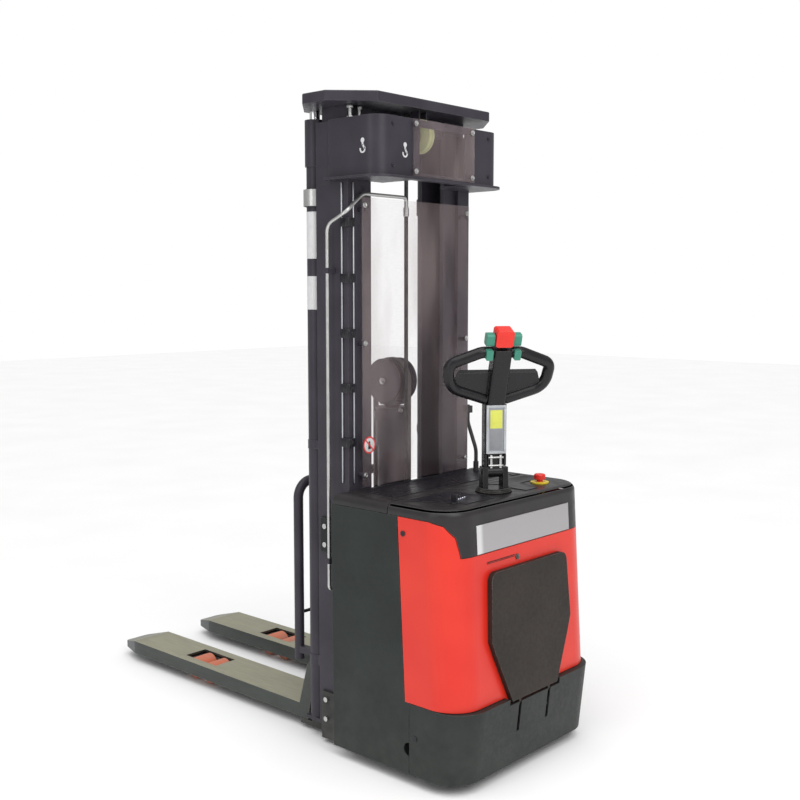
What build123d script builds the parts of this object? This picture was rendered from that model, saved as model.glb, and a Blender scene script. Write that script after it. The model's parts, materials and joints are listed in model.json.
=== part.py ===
# Walkie stacker with a fold-up stand-on platform and a two-stage mast.
# Millimetres.  +X to the right of the operator, +Y towards the fork tips, +Z up from the floor.
# Pieces are drawn with Y = 0 at the fork heels; write() then moves them so that the origin
# is at the centre of the footprint, on the floor.
from build123d import *
from math import cos, radians, sin
import os

# ---- driving dimensions -------------------------------------------------------------------
FORK_SPREAD = 570.0        # outside width over both forks
FORK_LENGTH = 1150.0
BLADE_WIDTH = 175.0
FORK_TOP = 88.0            # lowered fork height
BLADE_PLATE = 9.0
BLADE_SKIRT = 6.0
SKIRT_EDGE = 36.0          # underside of the fork's side skirts
NOSE_LENGTH = 115.0
WINDOW_START = 533.0
WINDOW_LENGTH = 193.0
WINDOW_WIDTH = 98.0

BODY_WIDTH = 758.0
BODY_FRONT = -275.0
BODY_WALL = 5.0
CORNER_RADIUS = 110.0
FLOOR_GAP = 38.0
SKIRT_TOP = 271.0
SKIRT_REAR_LOW = -812.0
SKIRT_REAR_TOP = -838.0
COVER_REAR_LOW = -817.0
COVER_REAR_TOP = -780.0
CASING_TOP = 868.0
CONSOLE_TOP = 906.0
SEAM_LOW = -615.0
SEAM_MID = -597.0
SEAM_TOP = -561.0
LID_SEAM = -522.0
PANEL_GAP = 2.0
TONGUE_HALF = 137.0        # tongue of the cover between the platform's arms
TONGUE_DROP = 18.0

TRIM_HALF = 254.0
TRIM_LOW = 755.0
TRIM_TOP = 848.0
TRIM_THICK = 3.0

RAIL_HALF = 316.0          # outside of the outer mast rails
RAIL_DEPTH = 150.0
RAIL_REAR = -290.0
RAIL_WIDTH = 62.0
RAIL_FLANGE = 14.0
RAIL_WEB = 10.0
RAIL_FOOT = 60.0
RAIL_TOP = 2130.0
RAIL_SLACK = 2.0           # running clearance between the nested rails
INNER_FOOT = 100.0
INNER_WIDTH = 112.0        # flange width of the inner rails
PLATE_UNDER = 2177.0
PLATE_THICK = 33.0
PLATE_HALF = 410.0
PLATE_REAR = -402.0
PLATE_FRONT = -57.0
PLATE_CHAMFER = 120.0

BOX_LOW = 1936.0
BOX_TOP = 2134.0
BOX_REAR = -430.0
BOX_FRONT = -207.0
BOX_PLATE = 6.0
BOX_CORNER = 60.0

GUARD_HALF = 280.0
GUARD_LOW = 916.0
GUARD_TOP = 1880.0
GUARD_THICK = 3.0
GUARD_STANDOFF = 28.0
TOP_GUARD_HALF = 160.0

CYLINDER_X = 286.0
CYLINDER_Y = -105.0
BARREL_RADIUS = 30.0
BARREL_BORE = 24.0
BARREL_LOW = 60.0
BARREL_TOP = 1990.0
GLAND_RADIUS = 34.5
GLAND_TOP = 2145.0
ROD_RADIUS = 17.5
RUNNING = 0.05             # radial clearance of a running fit
STAGE_STROKE = 1450.0

FREELIFT_Y = -195.0
FREELIFT_RADIUS = 52.0
FREELIFT_BORE = 42.0
FREELIFT_TOP = 1168.0
FREELIFT_ROD = 28.0
SHEAVE_Z = 1254.0
SHEAVE_RADIUS = 76.0
SHEAVE_WIDTH = 30.0
FREELIFT_STROKE = 700.0
CHAIN_THICK = 6.0
CHAIN_WIDTH = 24.0
CHAIN_GAP = 0.5            # round the chain in the carriage's clevis

CHAIN_ANCHOR_Z = 880.0      # chain end on the free-lift cylinder
CARRIAGE_ANCHOR_Z = 330.0

PULLEY_X = -30.0
PULLEY_Z = 2096.0
PULLEY_RADIUS = 58.0
PULLEY_WIDTH = 26.0
HOSE_RADIUS = 7.0
PIPE_X = -345.0
PIPE_Y = -222.0
PIPE_RADIUS = 6.0
PIPE_RUN_Y = -306.0
PIPE_TOP = 1892.0
PIPE_END_X = -48.0
HOSE_X = 300.0
HOSE_Y = -345.0

CARRIAGE_REAR = -99.0
CARRIAGE_FACE = -72.0
CARRIAGE_LOW = 180.0
CARRIAGE_HIGH = 560.0
CARRIAGE_HALF = 250.0
CARRIAGE_STRUT_X = 216.0
ROLLER_WIDTH = 50.0
HOOP_RADIUS = 17.5
HOOP_X = 285.0 - HOOP_RADIUS
HOOP_Y = 15.0
HOOP_TOP = 912.0
HOOP_BEND = 60.0

STEER_Y = -656.0
STEER_AT_REST = -35.0      # the tiller stands turned towards the operator's left
DRIVE_WHEEL_RADIUS = 115.0
DRIVE_WHEEL_WIDTH = 75.0
DRIVE_HUB_RADIUS = 78.0
TURNTABLE_RADIUS = 105.0
TURNTABLE_Z = 262.0
CASTOR_X = 250.0
CASTOR_Y = -690.0
CASTOR_RADIUS = 62.5
CASTOR_WIDTH = 45.0
CASTOR_TRAIL = 38.0
CASTOR_PLATE_Z = 172.0

LOAD_WHEEL_RADIUS = 42.5
LOAD_WHEEL_WIDTH = 86.0
LOAD_WHEEL_PITCH = 95.0
AXLE_RADIUS = 10.0
LEG_HALF = 62.0
LEG_LOW = 22.0
LEG_TOP = 70.0
LEG_NOSE = 50.0            # leg beyond the load wheel slot
FOOT_LOW = 16.0
FOOT_FRONT = -7.0          # front of the thin foot plate under the fork heels
FOOT_PLATE = 18.0
LEG_ROOT = -66.0           # front of the deep foot under the mast, where the legs start
DRIVE_BAY_FRONT = -528.0   # bulkhead between the battery and the drive bay
DECK_THICK = 12.0

TILLER_PIVOT_Z = 975.0
COLUMN_LOW = 1036.0
COLUMN_WIDTH = 75.0
COLUMN_DEPTH = 50.0
COLUMN_TOP = 1200.0
LABEL_HALF = 27.0
HEAD_LEAN = 22.0
HEAD_HALF = 192.0
GRIP_RADIUS = 19.0
POD_HALF = 30.0
POD_TOP = 205.0
POD_DEPTH = 27.0
BAR_V = 190.0              # middle of the handlebar, up the head
BAR_SIDE_V = 148.0
BOWL_TOP = 118.0
BUTTON_LOW = 216.0
BUTTON_TOP = 272.0
BUTTON_HALF = 29.0
PADDLE_V = 234.0
PADDLE_AXLE = 5.0
THUMB_X = 47.0
THUMB_HALF = 11.0
THUMB_LENGTH = 34.0
THUMB_PROUD = 10.0         # button above the handlebar's surface
THUMB_SINK = 9.0           # and below it
THUMB_TRAVEL = 4.0

PLATFORM_PIVOT_Y = -790.0
PLATFORM_PIVOT_Z = 190.0
PLATFORM_THICK = 18.0
PLATFORM_LOW = 262.0
PLATFORM_TOP = 692.0
PLATFORM_GAP = 2.0
ARM_X = 81.0
ARM_THICK = 10.0
SLOT_LOW = 148.0
SLOT_WIDTH = 15.0

EAR_THICK = 10.0
EAR_FRONT = -160.0

ESTOP_X = 240.0
ESTOP_Y = -675.0
DISPLAY_X = -186.0
DISPLAY_Y = -600.0
DISPLAY_WIDTH = 114.0
DISPLAY_DEPTH = 74.0
FIT = 0.3                  # gap round a seated insert
KEY_X = -250.0
KEY_Y = -690.0

# ---- places worked out from them ----------------------------------------------------------
BODY_HALF = BODY_WIDTH / 2
FORK_X = (FORK_SPREAD - BLADE_WIDTH) / 2
ROW_Y = -(FORK_LENGTH + SKIRT_REAR_TOP) / 2
RAIL_FRONT = RAIL_REAR + RAIL_DEPTH
RAIL_MID = (RAIL_REAR + RAIL_FRONT) / 2
CHANNEL_DEPTH = RAIL_DEPTH - 2 * RAIL_FLANGE
INNER_HALF = RAIL_HALF - RAIL_WEB - 4.0
INNER_DEPTH = CHANNEL_DEPTH - 2 * RAIL_SLACK
INNER_TIP = INNER_HALF - INNER_WIDTH
INNER_CHANNEL = INNER_DEPTH - 2 * RAIL_FLANGE
WHEEL_MID = WINDOW_START + WINDOW_LENGTH / 2
LEG_TIP = WINDOW_START + WINDOW_LENGTH + LEG_NOSE
GUARD_Y = RAIL_REAR - GUARD_STANDOFF
PULLEY_Y = RAIL_REAR - PULLEY_RADIUS - 1.0
BULKHEAD_Y = RAIL_REAR - 12.0


# ---- helpers ------------------------------------------------------------------------------
def block(x0, x1, y0, y1, z0, z1):
    centre = Pos((x0 + x1) / 2, (y0 + y1) / 2, (z0 + z1) / 2)
    return centre * Box(abs(x1 - x0), abs(y1 - y0), abs(z1 - z0))


def rod_x(radius, x0, x1, y, z):
    return Pos((x0 + x1) / 2, y, z) * Rot(0, 90, 0) * Cylinder(radius, abs(x1 - x0))


def rod_y(radius, x, y0, y1, z):
    return Pos(x, (y0 + y1) / 2, z) * Rot(90, 0, 0) * Cylinder(radius, abs(y1 - y0))


def rod_z(radius, x, y, z0, z1):
    return Pos(x, y, (z0 + z1) / 2) * Cylinder(radius, abs(z1 - z0))


def side_prism(outline, x0, x1):
    """A (Y, Z) outline carried across from x0 to x1."""
    face = make_face(Polyline(*outline, close=True))
    return extrude(Plane.YZ.offset(x0) * face, amount=x1 - x0)


def rear_prism(outline, y0, y1):
    """An (X, Z) outline carried from y1 back to y0."""
    face = make_face(Polyline(*outline, close=True))
    return extrude(Plane.XZ.offset(-y1) * face, amount=y1 - y0)


def plan_prism(outline, z0, z1):
    """An (X, Y) outline carried up from z0 to z1."""
    face = make_face(Polyline(*outline, close=True))
    return extrude(Plane.XY.offset(z0) * face, amount=z1 - z0)


def mirrored(shape):
    return mirror(shape, about=Plane.YZ)


def both_sides(shape):
    return [shape, mirrored(shape)]


def write(name, shape):
    """Write one sub-part, moved into the finished frame."""
    solids = shape.solids() if hasattr(shape, "solids") else [s for item in shape for s in item.solids()]
    moved = [Pos(0, ROW_Y, 0) * solid for solid in solids]
    piece = moved[0] if len(moved) == 1 else Compound(children=moved)
    export_step(piece, "parts/" + name + ".step")


def steered(shape):
    """Turn a piece of the steering gear to where the tiller stands."""
    about = Pos(0, STEER_Y, 0) * Rot(0, 0, STEER_AT_REST) * Pos(0, -STEER_Y, 0)
    if isinstance(shape, list):
        return [about * item for item in shape]
    return about * shape


# ---- body shells --------------------------------------------------------------------------
def plan_outline(front, rear, half, radius):
    face = make_face(Polyline((-half, front), (half, front), (half, rear), (-half, rear), close=True))
    return fillet(face.vertices().sort_by(Axis.Y)[:2], radius)


def rear_block(front, z0, rear0, z1, rear1, inset):
    """Body with rounded rear corners, its back face running from rear0 at z0 to rear1 at z1."""
    half = BODY_HALF - inset
    radius = CORNER_RADIUS - inset
    low = Pos(0, 0, z0) * plan_outline(front, rear0 + inset, half, radius)
    top = Pos(0, 0, z1) * plan_outline(front, rear1 + inset, half, radius)
    return loft([low, top], ruled=True)


def cover_rear(z):
    """Y of the upper cover's back face at height z."""
    slope = (COVER_REAR_TOP - COVER_REAR_LOW) / (CASING_TOP - SKIRT_TOP)
    return COVER_REAR_LOW + slope * (z - SKIRT_TOP)


def skirt_rear(z):
    slope = (SKIRT_REAR_TOP - SKIRT_REAR_LOW) / (SKIRT_TOP - FLOOR_GAP)
    return SKIRT_REAR_LOW + slope * (z - FLOOR_GAP)


def rear_shell(z0, z1, line):
    outer = rear_block(SEAM_TOP + 60, z0, line(z0), z1, line(z1), 0)
    inner = rear_block(SEAM_TOP + 61, z0 - 1, line(z0 - 1), z1 + 1, line(z1 + 1), BODY_WALL)
    return outer - inner


def seam_points(shift):
    """The seam between the casing and the rear covers, shifted towards the rear."""
    return [
        (SEAM_LOW - shift, FLOOR_GAP - 1),
        (SEAM_LOW - shift, SKIRT_TOP),
        (SEAM_MID - shift, SKIRT_TOP),
        (SEAM_TOP - shift, CASING_TOP + 60),
    ]


def behind_seam():
    points = seam_points(PANEL_GAP) + [(-1200, CASING_TOP + 60), (-1200, FLOOR_GAP - 1)]
    return side_prism(points, -BODY_HALF - 5, BODY_HALF + 5)


def console_zone(gap):
    """Side view of what belongs to the console: above the shoulder line of the rear cover."""
    shoulder = [
        (LID_SEAM + 30, CASING_TOP),
        (-690, CASING_TOP - 2),
        (-735, CASING_TOP - 14),
        (-762, CASING_TOP - 50),
        (-772, TRIM_LOW + 10),
        (-773, TRIM_LOW - 2),
    ]
    line = [(y - gap, z + gap) for y, z in shoulder]
    around = [(-1200, TRIM_LOW - 2 + gap), (-1200, CONSOLE_TOP + 80),
              (LID_SEAM + 30 - gap, CONSOLE_TOP + 80)]
    return side_prism(line + around, -BODY_HALF - 5, BODY_HALF + 5)


def battery_casing():
    profile = [
        (BODY_FRONT, FLOOR_GAP),
        (SEAM_LOW, FLOOR_GAP),
        (SEAM_LOW, SKIRT_TOP + PANEL_GAP),
        (SEAM_MID, SKIRT_TOP + PANEL_GAP),
        (SEAM_TOP - PANEL_GAP, CASING_TOP),
        (BODY_FRONT + 7, CASING_TOP),
    ]
    flank = side_prism(profile, BODY_HALF - BODY_WALL, BODY_HALF)
    access_hole = rod_x(22, BODY_HALF - 20, BODY_HALF + 20, SEAM_LOW, 119)
    flank = flank - access_hole
    wall_half = BODY_HALF - BODY_WALL
    front_wall = block(-wall_half, wall_half, BULKHEAD_Y - BODY_WALL, BULKHEAD_Y, 190, CASING_TOP)
    for ear in mast_ears(PANEL_GAP):
        front_wall = front_wall - ear
    return flank + front_wall + mirrored(flank)


def skirt_ledge(z0, z1):
    """Flat rim that closes the step from the skirt in to the cover above it."""
    outer = rear_block(SEAM_TOP + 60, z0, skirt_rear(z0), z1, skirt_rear(z1), 0)
    inner = rear_block(SEAM_TOP + 61, z0 - 1, cover_rear(z0 - 1), z1 + 1, cover_rear(z1 + 1), BODY_WALL)
    return outer - inner


def rear_skirt():
    shell = rear_shell(FLOOR_GAP, SKIRT_TOP, skirt_rear) + skirt_ledge(SKIRT_TOP - BODY_WALL, SKIRT_TOP)
    shell = shell & behind_seam()
    half = TONGUE_HALF + 3
    tongue_seat = SKIRT_TOP - TONGUE_DROP - PANEL_GAP
    shell = shell - block(-half, half, SKIRT_REAR_TOP - 20, SKIRT_REAR_TOP + 60, tongue_seat,
                          SKIRT_TOP + 20)
    seat_rim = skirt_ledge(tongue_seat - BODY_WALL, tongue_seat)
    shell = shell + (seat_rim & block(-half, half, -900, SKIRT_REAR_TOP + 60, 0, SKIRT_TOP))
    for side in (-1, 1):
        x = side * ARM_X
        shell = shell - block(x - SLOT_WIDTH / 2, x + SLOT_WIDTH / 2, -900, -780, SLOT_LOW, SKIRT_TOP + 20)
    return shell


def drive_cover():
    low = SKIRT_TOP + PANEL_GAP
    shell = rear_shell(low, CASING_TOP, cover_rear) & behind_seam()
    shell = shell - console_zone(0)
    tongue_low = SKIRT_TOP - TONGUE_DROP
    tongue = rear_shell(tongue_low, low, cover_rear)
    tongue = tongue & block(-TONGUE_HALF, TONGUE_HALF, -900, -700, tongue_low, low)
    shell = shell + tongue
    for side in (-1, 1):
        x = side * ARM_X
        shell = shell - block(x - SLOT_WIDTH / 2, x + SLOT_WIDTH / 2, -900, -780, SKIRT_TOP - 30,
                              SKIRT_TOP + 14)
    return shell


def console_body(inset, top):
    body = rear_block(LID_SEAM, TRIM_LOW - 1, cover_rear(TRIM_LOW), top, cover_rear(top), inset)
    return body


def console_cover():
    outer = console_body(0, CONSOLE_TOP)
    rim = outer.faces().sort_by(Axis.Z)[-1].edges().filter_by(lambda e: e.center().Y < LID_SEAM - 1)
    outer = fillet(rim, 26)
    inner = console_body(BODY_WALL, CONSOLE_TOP - BODY_WALL)
    inner = inner + Pos(0, 20, 0) * console_body(BODY_WALL, CONSOLE_TOP - BODY_WALL)
    inner = inner - block(-400, 400, LID_SEAM - BODY_WALL, LID_SEAM + 80, 700, 1000)
    shell = (outer - inner) & console_zone(PANEL_GAP)
    shell = shell - block(-400, 400, LID_SEAM - PANEL_GAP, LID_SEAM + 80, 700, 1000)
    shell = shell - rod_z(62, 0, STEER_Y, CONSOLE_TOP - 30, CONSOLE_TOP + 10)
    half_x = DISPLAY_WIDTH / 2 + FIT
    half_y = DISPLAY_DEPTH / 2 + FIT
    shell = shell - block(DISPLAY_X - half_x, DISPLAY_X + half_x, DISPLAY_Y - half_y,
                          DISPLAY_Y + half_y, 880, 920)
    shell = shell - rod_z(12, KEY_X, KEY_Y, 880, 920)
    shell = shell - rod_z(20, ESTOP_X, ESTOP_Y, 880, 920)
    return shell


def battery_lid():
    lid = block(-BODY_HALF, BODY_HALF, LID_SEAM + PANEL_GAP, BODY_FRONT, CASING_TOP + PANEL_GAP,
                CONSOLE_TOP)
    top_edges = lid.faces().sort_by(Axis.Z)[-1].edges()
    rounded = top_edges.filter_by(Axis.Y) + top_edges.sort_by(Axis.Y)[-1:]
    lid = fillet(rounded, 26)
    hollow_half = BODY_HALF - 24
    lid = lid - block(-hollow_half, hollow_half, LID_SEAM + 20, -500, 800, CONSOLE_TOP - BODY_WALL)
    lid = lid - block(-hollow_half, hollow_half, -505, BULKHEAD_Y - 16, 800, CONSOLE_TOP - BODY_WALL)
    lid = lid - block(-RAIL_HALF - 12, RAIL_HALF + 12, BULKHEAD_Y, BODY_FRONT + 20, 800, 1000)
    lid = lid - rod_z(10 + 0.5, HOSE_X, HOSE_Y, 800, 1000)
    return lid


def silver_trim():
    outer = rear_block(LID_SEAM, TRIM_LOW, cover_rear(TRIM_LOW), TRIM_TOP, cover_rear(TRIM_TOP),
                       -TRIM_THICK)
    inner = rear_block(LID_SEAM + 1, TRIM_LOW - 1, cover_rear(TRIM_LOW - 1), TRIM_TOP + 1,
                       cover_rear(TRIM_TOP + 1), 0)
    band = outer - inner
    return band & block(-TRIM_HALF, TRIM_HALF, -900, -700, TRIM_LOW + 2, TRIM_TOP)


# ---- chassis ------------------------------------------------------------------------------
def mast_ears(grow):
    """The chassis ears that the outer mast is bolted between, enlarged by grow."""
    back = BULKHEAD_Y - BODY_WALL - 8
    ears = []
    for side in (-1, 1):
        for low, high in ((RAIL_FOOT, 185), (680, 800)):
            inner = side * (RAIL_HALF - grow)
            outer = side * (RAIL_HALF + EAR_THICK + grow)
            ears.append(block(inner, outer, back - grow, EAR_FRONT, low - grow, high + grow))
    return ears


def chassis_frame():
    half = BODY_HALF - BODY_WALL - 14
    front_back = BULKHEAD_Y - BODY_WALL
    wall = BODY_HALF - BODY_WALL
    deck_rear = COVER_REAR_LOW + 60
    deck_top = TURNTABLE_Z + DECK_THICK
    frame = block(-half, half, DRIVE_BAY_FRONT, front_back, 52, 60)
    frame = frame + block(-half, half, front_back - 8, front_back, 52, 820)
    frame = frame + block(-half, half, DRIVE_BAY_FRONT - 8, DRIVE_BAY_FRONT, 52, 700)
    deck = plan_prism(
        [(-wall, DRIVE_BAY_FRONT), (wall, DRIVE_BAY_FRONT), (wall, -690), (half - 90, deck_rear),
         (110, deck_rear), (110, PLATFORM_PIVOT_Y - 14), (-110, PLATFORM_PIVOT_Y - 14), (-110, deck_rear),
         (-half + 90, deck_rear), (-wall, -690)],
        TURNTABLE_Z, deck_top)
    frame = frame + deck
    for ear in mast_ears(0):
        frame = frame + ear
    for x in (-120, 120):
        frame = frame + block(x - 20, x + 20, DRIVE_BAY_FRONT - 8, DRIVE_BAY_FRONT, 690,
                              CONSOLE_TOP - BODY_WALL)
    for side in (-1, 1):
        x = side * CASTOR_X
        frame = frame + block(x - 42, x + 42, CASTOR_Y - 42, CASTOR_Y + 42, CASTOR_PLATE_Z + 8, TURNTABLE_Z)
        foot_in = side * 100
        foot_out = side * 285
        frame = frame + block(foot_in, foot_out, front_back - 8, LEG_ROOT, FOOT_LOW, RAIL_FOOT)
        sole = block(foot_in, foot_out, LEG_ROOT, FOOT_FRONT, FOOT_LOW, FOOT_LOW + FOOT_PLATE)
        fork_x = side * FORK_X
        leg_space = block(fork_x - LEG_HALF, fork_x + LEG_HALF, LEG_ROOT, FOOT_FRONT + 1, LEG_LOW, LEG_TOP)
        frame = frame + (sole - leg_space)
        frame = frame + block(foot_in, foot_out, front_back - 8, BULKHEAD_Y - 1, FOOT_LOW, 120)
        frame = frame + block(side * 270, side * (RAIL_HALF + EAR_THICK), front_back - 8, EAR_FRONT,
                              FOOT_LOW, RAIL_FOOT)
        for offset in (-1, 1):
            inner = side * ARM_X + offset * (ARM_THICK / 2 + 1.0)
            outer = inner + offset * 8
            frame = frame + block(inner, outer, PLATFORM_PIVOT_Y - 14, PLATFORM_PIVOT_Y + 25, 175,
                                  TURNTABLE_Z)
    for side in (-1, 1):
        frame = frame - rod_x(8, side * ARM_X - 30, side * ARM_X + 30, PLATFORM_PIVOT_Y, PLATFORM_PIVOT_Z)
        frame = frame - rod_z(16, side * CASTOR_X, CASTOR_Y, CASTOR_PLATE_Z, CASTOR_PLATE_Z + 50)
    return frame - rod_z(TURNTABLE_RADIUS - 20, 0, STEER_Y, TURNTABLE_Z - 5, TURNTABLE_Z + 20)


def support_leg(side):
    x = side * FORK_X
    beam = block(x - LEG_HALF, x + LEG_HALF, LEG_ROOT, LEG_TIP, LEG_LOW, LEG_TOP)
    beam = chamfer(beam.faces().sort_by(Axis.Y)[-1].edges().filter_by(Axis.X), 14)
    slot_half = LOAD_WHEEL_WIDTH / 2 + 3
    slot = block(x - slot_half, x + slot_half, WINDOW_START, WINDOW_START + WINDOW_LENGTH, 0, 100)
    beam = beam - slot
    axles = []
    for end in (-1, 1):
        y = WHEEL_MID + end * LOAD_WHEEL_PITCH / 2
        beam = beam - rod_x(AXLE_RADIUS, x - 100, x + 100, y, LOAD_WHEEL_RADIUS)
        axles.append(rod_x(AXLE_RADIUS, x - LEG_HALF, x + LEG_HALF, y, LOAD_WHEEL_RADIUS))
    return [beam] + axles


def load_wheel(side, end):
    x = side * FORK_X
    y = WHEEL_MID + end * LOAD_WHEEL_PITCH / 2
    half = LOAD_WHEEL_WIDTH / 2
    wheel = rod_x(LOAD_WHEEL_RADIUS, x - half, x + half, y, LOAD_WHEEL_RADIUS)
    wheel = chamfer(wheel.edges().filter_by(GeomType.CIRCLE), 3)
    return wheel - rod_x(AXLE_RADIUS + RUNNING, x - 80, x + 80, y, LOAD_WHEEL_RADIUS)


def castor_fork(side):
    x = side * CASTOR_X
    wheel_y = CASTOR_Y + CASTOR_TRAIL
    plate = block(x - 38, x + 38, CASTOR_Y - 30, wheel_y + 22, CASTOR_PLATE_Z - 8, CASTOR_PLATE_Z)
    fork = plate + rod_z(15.95, x, CASTOR_Y, CASTOR_PLATE_Z - 4, CASTOR_PLATE_Z + 48)
    fork = fork + rod_z(34, x, CASTOR_Y, CASTOR_PLATE_Z, CASTOR_PLATE_Z + 7.5)
    for hand in (-1, 1):
        inner = x + hand * (CASTOR_WIDTH / 2 + 2)
        outer = x + hand * 38
        cheek = side_prism(
            [(CASTOR_Y - 30, CASTOR_PLATE_Z - 8), (wheel_y + 22, CASTOR_PLATE_Z - 8),
             (wheel_y + 14, CASTOR_RADIUS - 16), (wheel_y - 14, CASTOR_RADIUS - 16)],
            min(inner, outer), max(inner, outer))
        fork = fork + cheek
    return fork + rod_x(8, x - 38, x + 38, wheel_y, CASTOR_RADIUS)


def castor_wheel(side):
    x = side * CASTOR_X
    half = CASTOR_WIDTH / 2
    y = CASTOR_Y + CASTOR_TRAIL
    wheel = rod_x(CASTOR_RADIUS, x - half, x + half, y, CASTOR_RADIUS)
    wheel = fillet(wheel.edges().filter_by(GeomType.CIRCLE), 6)
    return wheel - rod_x(8 + RUNNING, x - 60, x + 60, y, CASTOR_RADIUS)


def battery():
    box = block(-340, 340, DRIVE_BAY_FRONT + 8, BULKHEAD_Y - 22, 60, 640)
    return fillet(box.edges().filter_by(Axis.Z), 6)


def power_pack():
    deck = TURNTABLE_Z + DECK_THICK
    tank = block(150, 335, DRIVE_BAY_FRONT - 98, DRIVE_BAY_FRONT - 10, deck, deck + 300)
    tank = fillet(tank.edges().filter_by(Axis.Z), 12)
    motor = rod_z(50, 235, -674, deck, deck + 210)
    return tank + motor


def controller():
    return block(-335, -140, DRIVE_BAY_FRONT - 66, DRIVE_BAY_FRONT - 8, 380, 620)


# ---- drive and steering -------------------------------------------------------------------
def drive_unit():
    slew = rod_z(TURNTABLE_RADIUS - 20.3, 0, STEER_Y, TURNTABLE_Z - 14, TURNTABLE_Z + 20)
    flange = rod_z(TURNTABLE_RADIUS, 0, STEER_Y, TURNTABLE_Z + 12.5, TURNTABLE_Z + 26)
    motor = rod_z(82, 0, STEER_Y, TURNTABLE_Z + 20, TURNTABLE_Z + 250)
    post = rod_z(32, 0, STEER_Y, TURNTABLE_Z + 240, CONSOLE_TOP + 2)
    collar = rod_z(50, 0, STEER_Y, CONSOLE_TOP - 20, CONSOLE_TOP + 4)
    crown = rod_z(70, 0, STEER_Y, 2 * DRIVE_WHEEL_RADIUS + 8, TURNTABLE_Z - 10)
    inner = DRIVE_WHEEL_WIDTH / 2 + 4
    cheek = block(inner, inner + 44, STEER_Y - 62, STEER_Y + 62, 60, TURNTABLE_Z - 14)
    cheek = fillet(cheek.edges().filter_by(Axis.X), 20)
    bridge = block(-40, inner + 20, STEER_Y - 50, STEER_Y + 50, 2 * DRIVE_WHEEL_RADIUS + 8,
                   TURNTABLE_Z - 14)
    shaft = rod_x(20, -DRIVE_WHEEL_WIDTH / 2, inner + 10, STEER_Y, DRIVE_WHEEL_RADIUS)
    return steered(slew + flange + motor + post + collar + crown + cheek + bridge + shaft)


def drive_hub():
    half = DRIVE_WHEEL_WIDTH / 2
    hub = rod_x(DRIVE_HUB_RADIUS, -half, half, STEER_Y, DRIVE_WHEEL_RADIUS)
    return steered(hub - rod_x(20 + RUNNING, -half - 1, half + 1, STEER_Y, DRIVE_WHEEL_RADIUS))


def drive_tyre():
    half = DRIVE_WHEEL_WIDTH / 2
    tyre = rod_x(DRIVE_WHEEL_RADIUS, -half, half, STEER_Y, DRIVE_WHEEL_RADIUS)
    tyre = fillet(tyre.edges().filter_by(GeomType.CIRCLE), 8)
    return steered(tyre - rod_x(DRIVE_HUB_RADIUS, -half - 1, half + 1, STEER_Y, DRIVE_WHEEL_RADIUS))


def tiller_base():
    """Clevis on the steering post that carries the tiller's pivot pin."""
    floor = CONSOLE_TOP + 4
    foot = rod_z(50, 0, STEER_Y, floor, floor + 10)
    clevis = foot
    for side in (-1, 1):
        inner = side * (COLUMN_WIDTH / 2 - 12 + 0.5)
        outer = side * (COLUMN_WIDTH / 2 + 6)
        ear = side_prism(
            [(STEER_Y - 26, floor + 5), (STEER_Y + 26, floor + 5), (STEER_Y + 20, TILLER_PIVOT_Z + 16),
             (STEER_Y - 20, TILLER_PIVOT_Z + 16)],
            min(inner, outer), max(inner, outer))
        clevis = clevis + ear
    pin = rod_x(10, -COLUMN_WIDTH / 2 - 9, COLUMN_WIDTH / 2 + 9, STEER_Y, TILLER_PIVOT_Z)
    return steered(clevis + pin)


def tiller_arm():
    half = COLUMN_WIDTH / 2 - 12
    depth = COLUMN_DEPTH / 2
    knuckle = rod_x(20, -half, half, STEER_Y, TILLER_PIVOT_Z)
    knuckle = knuckle + block(-half, half, STEER_Y - 18, STEER_Y + 18, TILLER_PIVOT_Z, COLUMN_LOW + 8)
    column = block(-COLUMN_WIDTH / 2, COLUMN_WIDTH / 2, STEER_Y - depth, STEER_Y + depth,
                   COLUMN_LOW, COLUMN_TOP)
    column = fillet(column.edges().filter_by(Axis.Z), 10)
    recess = block(-LABEL_HALF, LABEL_HALF, STEER_Y - depth - 5, STEER_Y - depth + 6,
                   COLUMN_LOW + 8, COLUMN_TOP - 10)
    column = column - recess
    arm = knuckle + column
    return steered(arm - rod_x(10 + RUNNING, -60, 60, STEER_Y, TILLER_PIVOT_Z))


def tiller_label_plate():
    """Grey insert in the front of the tiller column."""
    face = STEER_Y - COLUMN_DEPTH / 2
    plate = block(-LABEL_HALF, LABEL_HALF, face + 1, face + 6, COLUMN_LOW + 8, COLUMN_TOP - 10)
    return steered(plate)


def head_frame():
    """Where the tiller head's own axes lie: X across, Y up the head, Z towards the operator."""
    return Plane(origin=(0, STEER_Y, COLUMN_TOP), x_dir=(1, 0, 0),
                 z_dir=(0, -cos(radians(HEAD_LEAN)), -sin(radians(HEAD_LEAN))))


def in_head(shape):
    return steered(head_frame() * shape)


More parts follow.
